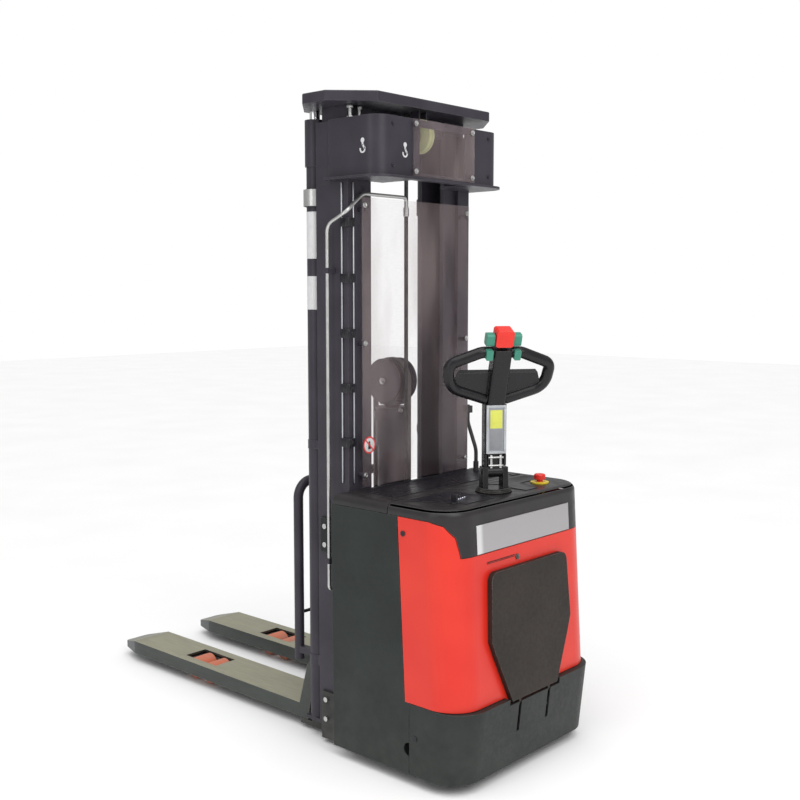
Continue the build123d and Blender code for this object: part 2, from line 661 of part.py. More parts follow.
def tiller_head():
    reach = HEAD_HALF - GRIP_RADIUS
    route = FilletPolyline((34, 20), (reach - 8, 66), (reach, BAR_SIDE_V), (66, BAR_V), (0, BAR_V),
                           radius=[60, 30, 60])
    start = Plane(origin=(34, 20, 0), z_dir=(reach - 42, 46, 0))
    loop = sweep(start * Circle(GRIP_RADIUS), path=route)
    bowl_outline = make_face(Polyline(
        (-COLUMN_WIDTH / 2, 2), (COLUMN_WIDTH / 2, 2), (reach - 20, 58), (reach - 40, BOWL_TOP),
        (-reach + 40, BOWL_TOP), (-reach + 20, 58), close=True))
    bowl = extrude(Pos(0, 0, -20) * bowl_outline, amount=24)
    pod = Pos(0, POD_TOP / 2, 0) * Box(2 * POD_HALF, POD_TOP, 2 * POD_DEPTH)
    pod = fillet(pod.edges().filter_by(Axis.Y), 8)
    head = loop + mirrored(loop) + bowl + pod
    post = Pos(0, (POD_TOP + PADDLE_V) / 2, 0) * Box(28, PADDLE_V - POD_TOP + 14, 12)
    head = head - Pos(0, BUTTON_LOW - 3, 0) * Box(2 * BUTTON_HALF + 4, 14, 80)
    head = head + post
    head = head - Pos(0, PADDLE_V, 0) * Rot(0, 90, 0) * Cylinder(PADDLE_AXLE + RUNNING, 40)
    for x in (-THUMB_X, THUMB_X):
        pocket = Box(2 * THUMB_HALF + 1, THUMB_LENGTH + 1, 2 * (THUMB_SINK + THUMB_TRAVEL + 1))
        head = head - Pos(x, BAR_V, GRIP_RADIUS) * pocket
    column_space = block(-60, 60, STEER_Y - 60, STEER_Y + 60, COLUMN_TOP - 60, COLUMN_TOP)
    return steered((head_frame() * head) - column_space)


def butterfly():
    piece = Rot(0, 90, 0) * Cylinder(PADDLE_AXLE, 2 * BUTTON_HALF + 12)
    for side in (-1, 1):
        wing = Pos(side * (BUTTON_HALF + 16), 2, 0) * Box(26, 40, 32)
        piece = piece + fillet(wing.edges().filter_by(Axis.X), 8)
    return in_head(Pos(0, PADDLE_V, 0) * piece)


def belly_button():
    height = BUTTON_TOP - BUTTON_LOW
    cap = Pos(0, (BUTTON_LOW + BUTTON_TOP) / 2, 0) * Box(2 * BUTTON_HALF, height, 46)
    cap = fillet(cap.edges().filter_by(Axis.Z), 8)
    slot_top = PADDLE_V + 13
    slot = Pos(0, (BUTTON_LOW + slot_top) / 2 - 1, 0) * Box(80, slot_top - BUTTON_LOW + 2, 14)
    return in_head(cap - slot)


def thumb_button(x):
    height = THUMB_SINK + THUMB_PROUD
    middle = GRIP_RADIUS + (THUMB_PROUD - THUMB_SINK) / 2
    button = Pos(x, BAR_V, middle) * Box(2 * THUMB_HALF, THUMB_LENGTH, height)
    return in_head(fillet(button.edges().filter_by(Axis.Z), 4))


# ---- mast ---------------------------------------------------------------------------------
def channel(outside, tip, depth, z0, z1):
    """One mast rail: web outside at x = outside, flanges reaching in to x = tip."""
    y0 = RAIL_MID - depth / 2
    y1 = RAIL_MID + depth / 2
    solid = block(tip, outside, y0, y1, z0, z1)
    hollow = block(tip - 1, outside - RAIL_WEB, y0 + RAIL_FLANGE, y1 - RAIL_FLANGE, z0 - 1, z1 + 1)
    return solid - hollow


def outer_mast():
    rail = channel(RAIL_HALF, RAIL_HALF - RAIL_WIDTH, RAIL_DEPTH, RAIL_FOOT, RAIL_TOP)
    for z in (GUARD_LOW + 40, (GUARD_LOW + GUARD_TOP) / 2, GUARD_TOP - 40):
        rail = rail + rod_y(8, GUARD_HALF - 14, RAIL_REAR - GUARD_STANDOFF, RAIL_REAR, z)
    foot = block(-RAIL_HALF, RAIL_HALF, RAIL_REAR, RAIL_FRONT, RAIL_FOOT, RAIL_FOOT + 12)
    base = block(CYLINDER_X - 40, CYLINDER_X + 30, RAIL_FRONT, CYLINDER_Y + 36, RAIL_FOOT, RAIL_FOOT + 12)
    side = rail + base
    return side + foot + mirrored(side)


def top_box():
    half = RAIL_HALF + BOX_PLATE
    outline = [(-half, BOX_FRONT), (-half, BOX_REAR), (half, BOX_REAR), (half, BOX_FRONT)]
    outer = make_face(Polyline(*outline, close=True))
    outer = fillet(outer.vertices().sort_by(Axis.Y)[:2], BOX_CORNER)
    shrunk = [(-RAIL_HALF, BOX_FRONT + 1), (-RAIL_HALF, BOX_REAR + BOX_PLATE),
              (RAIL_HALF, BOX_REAR + BOX_PLATE), (RAIL_HALF, BOX_FRONT + 1)]
    inner = make_face(Polyline(*shrunk, close=True))
    inner = fillet(inner.vertices().sort_by(Axis.Y)[:2], BOX_CORNER - BOX_PLATE)
    wall = extrude(Pos(0, 0, BOX_LOW) * (outer - inner), amount=BOX_TOP - BOX_LOW)
    lip_out = offset(outer, 22)
    lip = extrude(Pos(0, 0, BOX_LOW) * (lip_out - inner), amount=8)
    lip = lip - block(-500, 500, BOX_FRONT, BOX_FRONT + 100, BOX_LOW - 5, BOX_LOW + 20)
    box = wall + lip
    shelf = block(-RAIL_HALF, RAIL_HALF, BOX_REAR + 2, RAIL_REAR, BOX_LOW, BOX_LOW + 8)
    shelf = shelf - block(-150, 150, BOX_REAR + 10, RAIL_REAR + 5, BOX_LOW - 5, BOX_LOW + 20)
    box = box + (shelf & extrude(Pos(0, 0, BOX_LOW) * outer, amount=BOX_TOP - BOX_LOW))
    box = box - block(-120, 120, BOX_REAR - 5, BOX_REAR + 20, BOX_LOW + 24, BOX_TOP - 24)
    for x in (-TOP_GUARD_HALF + 15, TOP_GUARD_HALF - 15):
        for z in (BOX_LOW + 30, BOX_TOP - 20):
            box = box + rod_y(6, x, BOX_REAR - 7, BOX_REAR + 2, z)
    return box


def main_guard():
    return block(-GUARD_HALF, GUARD_HALF, GUARD_Y - GUARD_THICK, GUARD_Y, GUARD_LOW, GUARD_TOP)


def top_guard():
    y = BOX_REAR - 7
    return block(-TOP_GUARD_HALF, TOP_GUARD_HALF, y - GUARD_THICK, y, BOX_LOW + 12, BOX_TOP)


def mast_bolts():
    bolts = []
    for side in (-1, 1):
        face = side * (RAIL_HALF + EAR_THICK)
        for z in (90, 159, 708, 772):
            head = rod_x(9, face, face + side * 8, -186, z)
            bolts.append(head)
    return bolts


def inner_mast():
    rail = channel(INNER_HALF, INNER_TIP, INNER_DEPTH, INNER_FOOT, PLATE_UNDER)
    relief = block(INNER_TIP - 1, INNER_HALF - RAIL_WEB, RAIL_REAR, RAIL_FRONT, INNER_FOOT - 1,
                   INNER_FOOT + 136)
    rail = rail - relief
    axle = rod_x(14, INNER_HALF - RAIL_WEB - 40, INNER_HALF - 5, RAIL_MID, INNER_FOOT + 66)
    side = rail + axle
    reach = INNER_TIP + 8
    half = INNER_DEPTH / 2 - 8
    foot = block(-reach, reach, RAIL_MID - half, RAIL_MID + half, INNER_FOOT + 136, INNER_FOOT + 166)
    head = block(-reach, reach, RAIL_MID - half, RAIL_MID + half, PLATE_UNDER - 60, PLATE_UNDER)
    frame = side + mirrored(side) + foot + head
    rollers = []
    for hand in (-1, 1):
        x0 = hand * (INNER_HALF - RAIL_WEB - 1)
        x1 = hand * (INNER_HALF - RAIL_WEB - 37)
        radius = CHANNEL_DEPTH / 2 - 0.4
        roller = rod_x(radius, x0, x1, RAIL_MID, INNER_FOOT + 66)
        rollers.append(roller - rod_x(14, -400, 400, RAIL_MID, INNER_FOOT + 66))
    return [frame] + rollers


def top_plate():
    c = PLATE_CHAMFER
    h = PLATE_HALF
    outline = [
        (-h, PLATE_REAR + c), (-h + c, PLATE_REAR), (h - c, PLATE_REAR), (h, PLATE_REAR + c),
        (h, PLATE_FRONT - c), (h - c, PLATE_FRONT), (-h + c, PLATE_FRONT), (-h, PLATE_FRONT - c)]
    plate = plan_prism(outline, PLATE_UNDER, PLATE_UNDER + PLATE_THICK)
    plate = chamfer(plate.faces().sort_by(Axis.Z)[-1].edges(), 3)
    for side in (-1, 1):
        x = PULLEY_X + side * (PULLEY_WIDTH / 2 + 2)
        ear = block(x, x + side * 6, PULLEY_Y - 18, PULLEY_Y + 18, PULLEY_Z - 18, PLATE_UNDER)
        plate = plate + ear
    pin = rod_x(9, PULLEY_X - PULLEY_WIDTH / 2 - 8, PULLEY_X + PULLEY_WIDTH / 2 + 8, PULLEY_Y, PULLEY_Z)
    return plate + pin


def hose_pulley():
    x0 = PULLEY_X - PULLEY_WIDTH / 2
    x1 = PULLEY_X + PULLEY_WIDTH / 2
    wheel = rod_x(PULLEY_RADIUS, x0, x1, PULLEY_Y, PULLEY_Z)
    groove = Pos(PULLEY_X, PULLEY_Y, PULLEY_Z) * Rot(0, 90, 0) * Torus(PULLEY_RADIUS + 1, HOSE_RADIUS + 0.5)
    wheel = wheel - groove
    return wheel - rod_x(9 + RUNNING, x0 - 1, x1 + 1, PULLEY_Y, PULLEY_Z)


def lift_cylinders():
    """Barrel, gland and base lug of the two side cylinders."""
    outside = rod_z(BARREL_RADIUS, CYLINDER_X, CYLINDER_Y, BARREL_LOW + 12, BARREL_TOP)
    outside = outside + rod_z(GLAND_RADIUS, CYLINDER_X, CYLINDER_Y, BARREL_TOP, GLAND_TOP)
    bore = rod_z(BARREL_BORE, CYLINDER_X, CYLINDER_Y, BARREL_LOW + 40, GLAND_TOP - 60)
    neck = rod_z(ROD_RADIUS + RUNNING, CYLINDER_X, CYLINDER_Y, GLAND_TOP - 61, GLAND_TOP + 1)
    return both_sides(outside - bore - neck)


def lift_rods():
    rod = rod_z(ROD_RADIUS, CYLINDER_X, CYLINDER_Y, BARREL_LOW + 80, PLATE_UNDER)
    piston = rod_z(BARREL_BORE - RUNNING, CYLINDER_X, CYLINDER_Y, BARREL_LOW + 50, BARREL_LOW + 90)
    return both_sides(rod + piston)


def cylinder_clamps():
    """Straps that hold the cylinders to the outer rails, and the pipe's clips."""
    pieces = []
    for z0, z1, grow in ((1856, 1916, 4), (1030, 1060, 2), (262, 300, 2)):
        strap = rod_z(BARREL_RADIUS + grow, CYLINDER_X, CYLINDER_Y, z0, z1)
        strap = strap + block(CYLINDER_X - 18, CYLINDER_X + 24, RAIL_FRONT, CYLINDER_Y - 20, z0, z1)
        strap = strap - rod_z(BARREL_RADIUS, CYLINDER_X, CYLINDER_Y, z0 - 1, z1 + 1)
        pieces += both_sides(strap)
    for z in (660, 1640):
        clip = block(PIPE_X - 9, -RAIL_HALF, PIPE_Y - 9, PIPE_Y + 9, z - 9, z + 9)
        pieces.append(clip - rod_z(PIPE_RADIUS, PIPE_X, PIPE_Y, z - 20, z + 20))
    return pieces


def hydraulic_pipe():
    points = [
        (-RAIL_HALF, PIPE_Y, 560), (PIPE_X, PIPE_Y, 560), (PIPE_X, PIPE_Y, 1790),
    (PIPE_X + 2, PIPE_RUN_Y, 1828),
        (-262, PIPE_RUN_Y, PIPE_TOP), (PIPE_END_X, PIPE_RUN_Y, PIPE_TOP),
    (PIPE_END_X, PIPE_RUN_Y, PIPE_TOP - 42)]
    route = FilletPolyline(*points, radius=[14, 40, 30, 40, 16])
    start = Plane(origin=points[0], z_dir=(-1, 0, 0))
    pipe = sweep(start * Circle(PIPE_RADIUS), path=route)
    fitting = rod_z(10, PIPE_END_X, PIPE_RUN_Y, PIPE_TOP - 64, PIPE_TOP - 34)
    return pipe + fitting


def mast_hose():
    """Hose out of the lid to the right-hand rail, with its spiral sleeve."""
    points = [(HOSE_X, HOSE_Y, CONSOLE_TOP - 30), (HOSE_X, HOSE_Y, 985), (HOSE_X, -305, 1085),
              (HOSE_X, -305, 1150)]
    route = FilletPolyline(*points, radius=[90, 60])
    start = Plane(origin=points[0], z_dir=(0, 0, 1))
    hose = sweep(start * Circle(HOSE_RADIUS), path=route)
    sleeve = rod_z(10, HOSE_X, HOSE_Y, CONSOLE_TOP - 20, 940)
    clamp = block(HOSE_X - 14, HOSE_X + 14, -316, RAIL_REAR, 1120, 1146)
    return hose + sleeve + clamp


def freelift_cylinder():
    low = INNER_FOOT + 166
    barrel = rod_z(FREELIFT_RADIUS, 0, FREELIFT_Y, low, FREELIFT_TOP - 150)
    barrel = barrel + rod_z(FREELIFT_RADIUS + 7, 0, FREELIFT_Y, FREELIFT_TOP - 150, FREELIFT_TOP - 8)
    barrel = barrel - rod_z(FREELIFT_BORE, 0, FREELIFT_Y, low + 24, FREELIFT_TOP - 50)
    barrel = barrel - rod_z(FREELIFT_ROD + RUNNING, 0, FREELIFT_Y, FREELIFT_TOP - 60, FREELIFT_TOP + 1)
    anchor_y = FREELIFT_Y - SHEAVE_RADIUS - CHAIN_THICK
    anchor = block(-20, 20, anchor_y - 2, FREELIFT_Y - FREELIFT_RADIUS + 8, CHAIN_ANCHOR_Z - 30,
                   CHAIN_ANCHOR_Z)
    anchor = anchor - rod_z(FREELIFT_RADIUS - 5, 0, FREELIFT_Y, CHAIN_ANCHOR_Z - 40, CHAIN_ANCHOR_Z + 10)
    return barrel + anchor


def freelift_hose():
    low = INNER_FOOT + 200
    y = RAIL_REAR
    hose = rod_z(HOSE_RADIUS, PULLEY_X, y, low + 20, PLATE_UNDER)
    foot = rod_z(11, PULLEY_X, y, low - 10, low + 30)
    link = block(PULLEY_X - 9, PULLEY_X + 9, y - 5, FREELIFT_Y - FREELIFT_RADIUS + 1, low - 8, low + 10)
    link = link - rod_z(FREELIFT_RADIUS, 0, FREELIFT_Y, low - 20, low + 40)
    return hose + foot + link


def freelift_head():
    rod_low = INNER_FOOT + 166 + 60
    rod = rod_z(FREELIFT_ROD, 0, FREELIFT_Y, rod_low, FREELIFT_TOP + 2)
    piston = rod_z(FREELIFT_BORE - RUNNING, 0, FREELIFT_Y, rod_low - 20, rod_low + 20)
    inner = SHEAVE_WIDTH / 2 + 2
    yoke = block(-inner - 12, inner + 12, FREELIFT_Y - 34, FREELIFT_Y + 34, FREELIFT_TOP, FREELIFT_TOP + 8)
    head = rod + piston + yoke
    for side in (-1, 1):
        cheek = block(side * inner, side * (inner + 12), FREELIFT_Y - 34, FREELIFT_Y + 34,
                      FREELIFT_TOP, SHEAVE_Z + 30)
        head = head + fillet(cheek.edges().filter_by(Axis.X).sort_by(Axis.Z)[-2:], 30)
    return head + rod_x(14, -inner - 12, inner + 12, FREELIFT_Y, SHEAVE_Z)


def lift_sheave():
    half = SHEAVE_WIDTH / 2
    wheel = rod_x(SHEAVE_RADIUS, -half, half, FREELIFT_Y, SHEAVE_Z)
    return wheel - rod_x(14 + RUNNING, -half - 1, half + 1, FREELIFT_Y, SHEAVE_Z)


def lift_chain():
    """Chain over the sheave, from the carriage up and down again to its anchor."""
    half = CHAIN_WIDTH / 2
    inside = SHEAVE_RADIUS + 0.3
    outside = inside + CHAIN_THICK
    ring = rod_x(outside, -half, half, FREELIFT_Y, SHEAVE_Z) - rod_x(inside, -half - 1, half + 1,
                                                                     FREELIFT_Y, SHEAVE_Z)
    ring = ring & block(-100, 100, FREELIFT_Y - 200, FREELIFT_Y + 200, SHEAVE_Z, SHEAVE_Z + 200)
    front = block(-half, half, FREELIFT_Y + inside, FREELIFT_Y + outside, CARRIAGE_ANCHOR_Z, SHEAVE_Z)
    back = block(-half, half, FREELIFT_Y - outside, FREELIFT_Y - inside, CHAIN_ANCHOR_Z, SHEAVE_Z)
    return ring + front + back


# ---- carriage and forks -------------------------------------------------------------------
def carriage_frame():
    plate_x = INNER_TIP - 16
    frame = block(-CARRIAGE_HALF, CARRIAGE_HALF, CARRIAGE_REAR, CARRIAGE_FACE, CARRIAGE_LOW,
                  CARRIAGE_LOW + 100)
    upper = block(-CARRIAGE_HALF, CARRIAGE_HALF, CARRIAGE_REAR, CARRIAGE_FACE, CARRIAGE_HIGH - 80,
                  CARRIAGE_HIGH)
    frame = frame + upper
    roller_radius = INNER_CHANNEL / 2 - 0.4
    rollers = []
    for side in (-1, 1):
        cheek_low = INNER_FOOT + 172
        cheek = block(side * (plate_x - 12), side * plate_x, RAIL_MID - 30, CARRIAGE_REAR,
                      cheek_low, CARRIAGE_HIGH)
        strut = block(side * (CARRIAGE_STRUT_X - 12), side * CARRIAGE_STRUT_X, CARRIAGE_REAR, CARRIAGE_FACE,
                      CARRIAGE_LOW, CARRIAGE_HIGH)
        frame = frame + cheek + strut
        for z in (cheek_low + 46, CARRIAGE_HIGH - 46):
            x1 = side * (INNER_HALF - RAIL_WEB - 4)
            x0 = x1 - side * ROLLER_WIDTH
            frame = frame + rod_x(13, side * (plate_x - 6), x1, RAIL_MID, z)
            roller = rod_x(roller_radius, x0, x1, RAIL_MID, z) - rod_x(13, -400, 400, RAIL_MID, z)
            rollers.append(roller)
    anchor_y = FREELIFT_Y + SHEAVE_RADIUS
    anchor = block(-24, 24, anchor_y - 4, CARRIAGE_REAR, CARRIAGE_ANCHOR_Z - 50, CARRIAGE_ANCHOR_Z)
    clevis_half = CHAIN_WIDTH / 2 + CHAIN_GAP
    clevis_floor = anchor_y + CHAIN_THICK + CHAIN_GAP + 0.3
    anchor = anchor - block(-clevis_half, clevis_half, anchor_y - 10, clevis_floor, CARRIAGE_LOW,
                            CARRIAGE_HIGH)
    web = block(-24, 24, CARRIAGE_REAR, CARRIAGE_FACE, CARRIAGE_LOW + 90, CARRIAGE_ANCHOR_Z)
    return [frame + anchor + web] + rollers


def fork(side):
    x = side * FORK_X
    half = BLADE_WIDTH / 2
    nose = FORK_LENGTH - NOSE_LENGTH
    top = block(x - half, x + half, 0, nose, FORK_TOP - BLADE_PLATE, FORK_TOP)
    skin = top
    for hand in (-1, 1):
        outer = x + hand * half
        inner = outer - hand * BLADE_SKIRT
        skin = skin + block(inner, outer, 0, nose, SKIRT_EDGE, FORK_TOP)
    tip_outline = [(x - half, nose), (x + half, nose), (x + half - 34, FORK_LENGTH),
                   (x - half + 34, FORK_LENGTH)]
    tip = plan_prism(tip_outline, SKIRT_EDGE, FORK_TOP)
    tip = fillet(tip.edges().filter_by(Axis.Z).sort_by(Axis.Y)[-2:], 30)
    wedge = side_prism([(nose - 1, FORK_TOP), (nose, FORK_TOP), (FORK_LENGTH + 1, SKIRT_EDGE + 22),
                        (FORK_LENGTH + 1, FORK_TOP + 20), (nose - 1, FORK_TOP + 20)], x - 200, x + 200)
    tip = tip - wedge
    skin = skin + tip
    window = block(x - WINDOW_WIDTH / 2, x + WINDOW_WIDTH / 2, WINDOW_START,
                   WINDOW_START + WINDOW_LENGTH, 60, 120)
    skin = skin - window
    heel = [(0, SKIRT_EDGE), (0, FORK_TOP), (-42, CARRIAGE_LOW + 57), (CARRIAGE_FACE, CARRIAGE_LOW + 90),
            (CARRIAGE_FACE, CARRIAGE_LOW - 13), (-44, SKIRT_EDGE)]
    for hand in (-1, 1):
        outer = x + hand * half
        inner = outer - hand * 14
        skin = skin + side_prism(heel, min(inner, outer), max(inner, outer))
    back = side_prism([(0, FORK_TOP - BLADE_PLATE), (0, FORK_TOP), (-42, CARRIAGE_LOW + 57),
                       (CARRIAGE_FACE, CARRIAGE_LOW + 90), (CARRIAGE_FACE, CARRIAGE_LOW + 74),
                       (-54, CARRIAGE_LOW + 50), (-14, FORK_TOP - BLADE_PLATE)], x - half, x + half)
    return skin + back


def backrest():
    low = CARRIAGE_LOW + 66
    points = [(-HOOP_X, HOOP_Y, low), (-HOOP_X, HOOP_Y, HOOP_TOP - HOOP_RADIUS),
              (HOOP_X, HOOP_Y, HOOP_TOP - HOOP_RADIUS), (HOOP_X, HOOP_Y, low)]
    route = FilletPolyline(*points, radius=HOOP_BEND)
    start = Plane(origin=points[0], z_dir=(0, 0, 1))
    hoop = sweep(start * Circle(HOOP_RADIUS), path=route)
    for side in (-1, 1):
        x = side * HOOP_X
        strap = block(x - 12, x + 12, CARRIAGE_FACE, HOOP_Y, low + 26, low + 50)
        gusset = block(x + side * 12, side * (CARRIAGE_HALF - 25), CARRIAGE_FACE, CARRIAGE_FACE + 12,
                       CARRIAGE_LOW + 91, low + 50)
        hoop = hoop + strap + gusset
    rib = rod_x(6, -HOOP_X, HOOP_X, HOOP_Y, 415)
    return hoop + rib


# ---- platform -----------------------------------------------------------------------------
def platform():
    outline = [(-125, PLATFORM_LOW), (125, PLATFORM_LOW), (196, 416), (219, 472), (207, PLATFORM_TOP),
               (-207, PLATFORM_TOP), (-219, 472), (-196, 416)]
    slab = rear_prism(outline, -900, -740)
    slab = fillet(slab.edges().filter_by(Axis.Y).sort_by(Axis.Z)[-2:], 30)
    inside = cover_rear(PLATFORM_LOW) - PLATFORM_GAP
    inside_top = cover_rear(PLATFORM_TOP + 20) - PLATFORM_GAP
    band = side_prism([(inside, PLATFORM_LOW), (inside_top, PLATFORM_TOP + 20),
                       (inside_top - PLATFORM_THICK, PLATFORM_TOP + 20),
    (inside - PLATFORM_THICK, PLATFORM_LOW)],
                      -300, 300)
    panel = slab & band
    for side in (-1, 1):
        x = side * ARM_X
        half = ARM_THICK / 2
        arm = side_prism([(PLATFORM_PIVOT_Y - 12, PLATFORM_PIVOT_Z - 4),
                          (PLATFORM_PIVOT_Y + 8, PLATFORM_PIVOT_Z + 8),
                          (inside - 1, PLATFORM_LOW + 14), (inside - PLATFORM_THICK + 4, PLATFORM_LOW + 14),
                          (inside - PLATFORM_THICK + 4, PLATFORM_LOW - 12)], x - half, x + half)
        arm = arm + rod_x(13, x - half, x + half, PLATFORM_PIVOT_Y, PLATFORM_PIVOT_Z)
        panel = panel + arm
    for side in (-1, 1):
        panel = panel - rod_x(8 + RUNNING, side * ARM_X - 30, side * ARM_X + 30, PLATFORM_PIVOT_Y,
                              PLATFORM_PIVOT_Z)
    return panel


def platform_pins():
    return [rod_x(8, side * ARM_X - 14, side * ARM_X + 14, PLATFORM_PIVOT_Y,
                  PLATFORM_PIVOT_Z) for side in (-1, 1)]


# ---- small fittings -----------------------------------------------------------------------
def estop_base():
    ring = rod_z(32, ESTOP_X, ESTOP_Y, CONSOLE_TOP, CONSOLE_TOP + 5)
    barrel = rod_z(19, ESTOP_X, ESTOP_Y, CONSOLE_TOP - 35, CONSOLE_TOP + 5)
    return ring + barrel - rod_z(11 + RUNNING, ESTOP_X, ESTOP_Y, CONSOLE_TOP - 20, CONSOLE_TOP + 10)


def estop_button():
    cap = rod_z(20, ESTOP_X, ESTOP_Y, CONSOLE_TOP + 14, CONSOLE_TOP + 32)
    cap = fillet(cap.edges().sort_by(Axis.Z)[-1], 6)
    return cap + rod_z(11, ESTOP_X, ESTOP_Y, CONSOLE_TOP - 12, CONSOLE_TOP + 16)


def display_unit():
    half_x = DISPLAY_WIDTH / 2
    half_y = DISPLAY_DEPTH / 2
    return block(DISPLAY_X - half_x, DISPLAY_X + half_x, DISPLAY_Y - half_y, DISPLAY_Y + half_y,
                 CONSOLE_TOP - 18, CONSOLE_TOP - 1)


def key():
    barrel = rod_z(11.5, KEY_X, KEY_Y, CONSOLE_TOP - 26, CONSOLE_TOP + 3)
    return barrel + block(KEY_X - 2, KEY_X + 2, KEY_Y - 12, KEY_Y + 12, CONSOLE_TOP + 2, CONSOLE_TOP + 30)


def cover_screws():
    screws = []
    for side in (-1, 1):
        face = side * BODY_HALF
        screws.append(rod_x(9, face, face + side * 3, -590, 816))
        screws.append(rod_x(9, face, face + side * 3, -640, 160))
    return screws


# ---- the parts ----------------------------------------------------------------------------
os.makedirs("parts", exist_ok=True)

write("chassis_frame", chassis_frame())
write("battery", battery())
write("power_pack", power_pack())
write("controller", controller())
write("battery_casing", battery_casing())
write("battery_lid", battery_lid())
write("console_cover", console_cover())
write("drive_cover", drive_cover())
write("rear_skirt", rear_skirt())
write("silver_trim", silver_trim())
write("cover_screws", cover_screws())
write("display_unit", display_unit())
write("estop_base", estop_base())
write("estop_button", estop_button())
write("key", key())
write("outer_mast", outer_mast())
write("mast_top_box", top_box())
write("main_guard", main_guard())
write("top_guard", top_guard())
write("mast_bolts", mast_bolts())
write("lift_cylinders", lift_cylinders())
write("lift_rods", lift_rods())
write("cylinder_clamps", cylinder_clamps())
write("hydraulic_pipe", hydraulic_pipe())
write("mast_hose", mast_hose())
write("inner_mast", inner_mast())
write("inner_top_plate", top_plate())
write("hose_pulley", hose_pulley())
write("freelift_cylinder", freelift_cylinder())
write("freelift_hose", freelift_hose())
write("freelift_head", freelift_head())
write("lift_sheave", lift_sheave())
write("lift_chain", lift_chain())
write("carriage_frame", carriage_frame())
write("backrest", backrest())
write("platform", platform())
write("platform_pins", platform_pins())
write("drive_unit", drive_unit())
write("drive_hub", drive_hub())
write("drive_tyre", drive_tyre())
write("tiller_base", tiller_base())
write("tiller_arm", tiller_arm())
write("tiller_label_plate", tiller_label_plate())
write("tiller_head", tiller_head())
write("butterfly", butterfly())
write("belly_button", belly_button())
write("lift_button", thumb_button(-THUMB_X))
write("lower_button", thumb_button(THUMB_X))
for hand, side in (("left", -1), ("right", 1)):
    write("support_leg_" + hand, support_leg(side))
    write("fork_" + hand, fork(side))
    write("castor_fork_" + hand, castor_fork(side))
    write("castor_wheel_" + hand, castor_wheel(side))
    write("load_wheel_front_" + hand, load_wheel(side, 1))
    write("load_wheel_rear_" + hand, load_wheel(side, -1))
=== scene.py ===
"""Finishes and small fittings of a walkie stacker, modelled round its CAD frame.

Places are in millimetres in the frame of the CAD: X to the operator's right, Y towards the fork
tips, Z up, the origin on the floor at the centre of the footprint.
"""

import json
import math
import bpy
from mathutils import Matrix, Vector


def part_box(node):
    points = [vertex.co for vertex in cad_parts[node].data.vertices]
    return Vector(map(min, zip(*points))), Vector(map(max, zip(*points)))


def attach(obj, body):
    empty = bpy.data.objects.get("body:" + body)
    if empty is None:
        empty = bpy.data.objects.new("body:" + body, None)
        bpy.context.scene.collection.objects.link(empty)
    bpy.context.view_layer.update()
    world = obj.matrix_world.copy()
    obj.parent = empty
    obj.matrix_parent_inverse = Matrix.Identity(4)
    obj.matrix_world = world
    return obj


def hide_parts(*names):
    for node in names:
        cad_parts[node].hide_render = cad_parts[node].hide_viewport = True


bl_info = {
    "name": "Walkie stacker",
    "version": (1, 0, 0),
    "blender": (4, 5, 0),
    "location": "3D View > Sidebar > Stacker",
    "description": "Finishes and small fittings for a walkie stacker on its CAD frame",
    "category": "Object",
}

import bpy
from bpy.props import FloatProperty, FloatVectorProperty, IntProperty, PointerProperty
from mathutils import Matrix, Vector

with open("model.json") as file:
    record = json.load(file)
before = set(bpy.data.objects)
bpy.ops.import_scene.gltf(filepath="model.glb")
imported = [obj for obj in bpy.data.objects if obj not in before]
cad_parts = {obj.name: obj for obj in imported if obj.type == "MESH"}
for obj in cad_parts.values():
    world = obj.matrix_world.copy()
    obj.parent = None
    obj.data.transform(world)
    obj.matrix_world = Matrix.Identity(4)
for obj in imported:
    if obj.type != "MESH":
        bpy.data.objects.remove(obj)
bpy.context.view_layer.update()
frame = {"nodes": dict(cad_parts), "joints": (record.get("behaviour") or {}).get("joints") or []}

MM = 0.001
LAY = {"X": (0, math.pi / 2, 0), "Y": (math.pi / 2, 0, 0), "Z": (0, 0, 0)}


# ---- the CAD's joints and boxes -----------------------------------------------------------
def joint(name):
    return next(row for row in frame["joints"] if row["name"] == name)


def place(name):
    """Where a joint's axis is, in millimetres."""
    return Vector(joint(name)["pos_m"]) / MM


def extent(node):
    """Lowest and highest corner of a CAD node, in millimetres."""
    low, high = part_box(node)
    return low / MM, high / MM


def tiller_turn():
    """How far the tiller stands turned to the left at rest, from its hinge's axis."""
    axis = joint("tiller_tilt")["axis"]
    return math.atan2(axis[1], axis[0])


STEER = place("steer")
LIFT_CYLINDER = (-286, -261)     # axis of the left one
RAIL_CORNER = -316               # outside of the left outer rail
RAIL_FACE_INSET = 28             # from the guard's brackets forward to the rail's rear face
BOX_FACE_INSET = 22              # from the top box's flange in to its faces
TOP_PLATE_UNDER = 2177
CHAIN_BAND = 6.0                 # depth of the lift chain
CHAIN_FEET = ((1, 330), (-1, 880))
COVER_SLOPE = math.atan2(37, 597)    # lean of the drive cover and of the folded platform


# ---- sizes and colours a user may change --------------------------------------------------
def length(name, about, millimetres):
    return FloatProperty(name=name, description=about, default=millimetres * MM, min=0.0, unit="LENGTH",
                         precision=4)


def paint(name, about, colour):
    return FloatVectorProperty(name=name, description=about, default=colour, size=3, min=0.0, max=1.0,
                               subtype="COLOR")


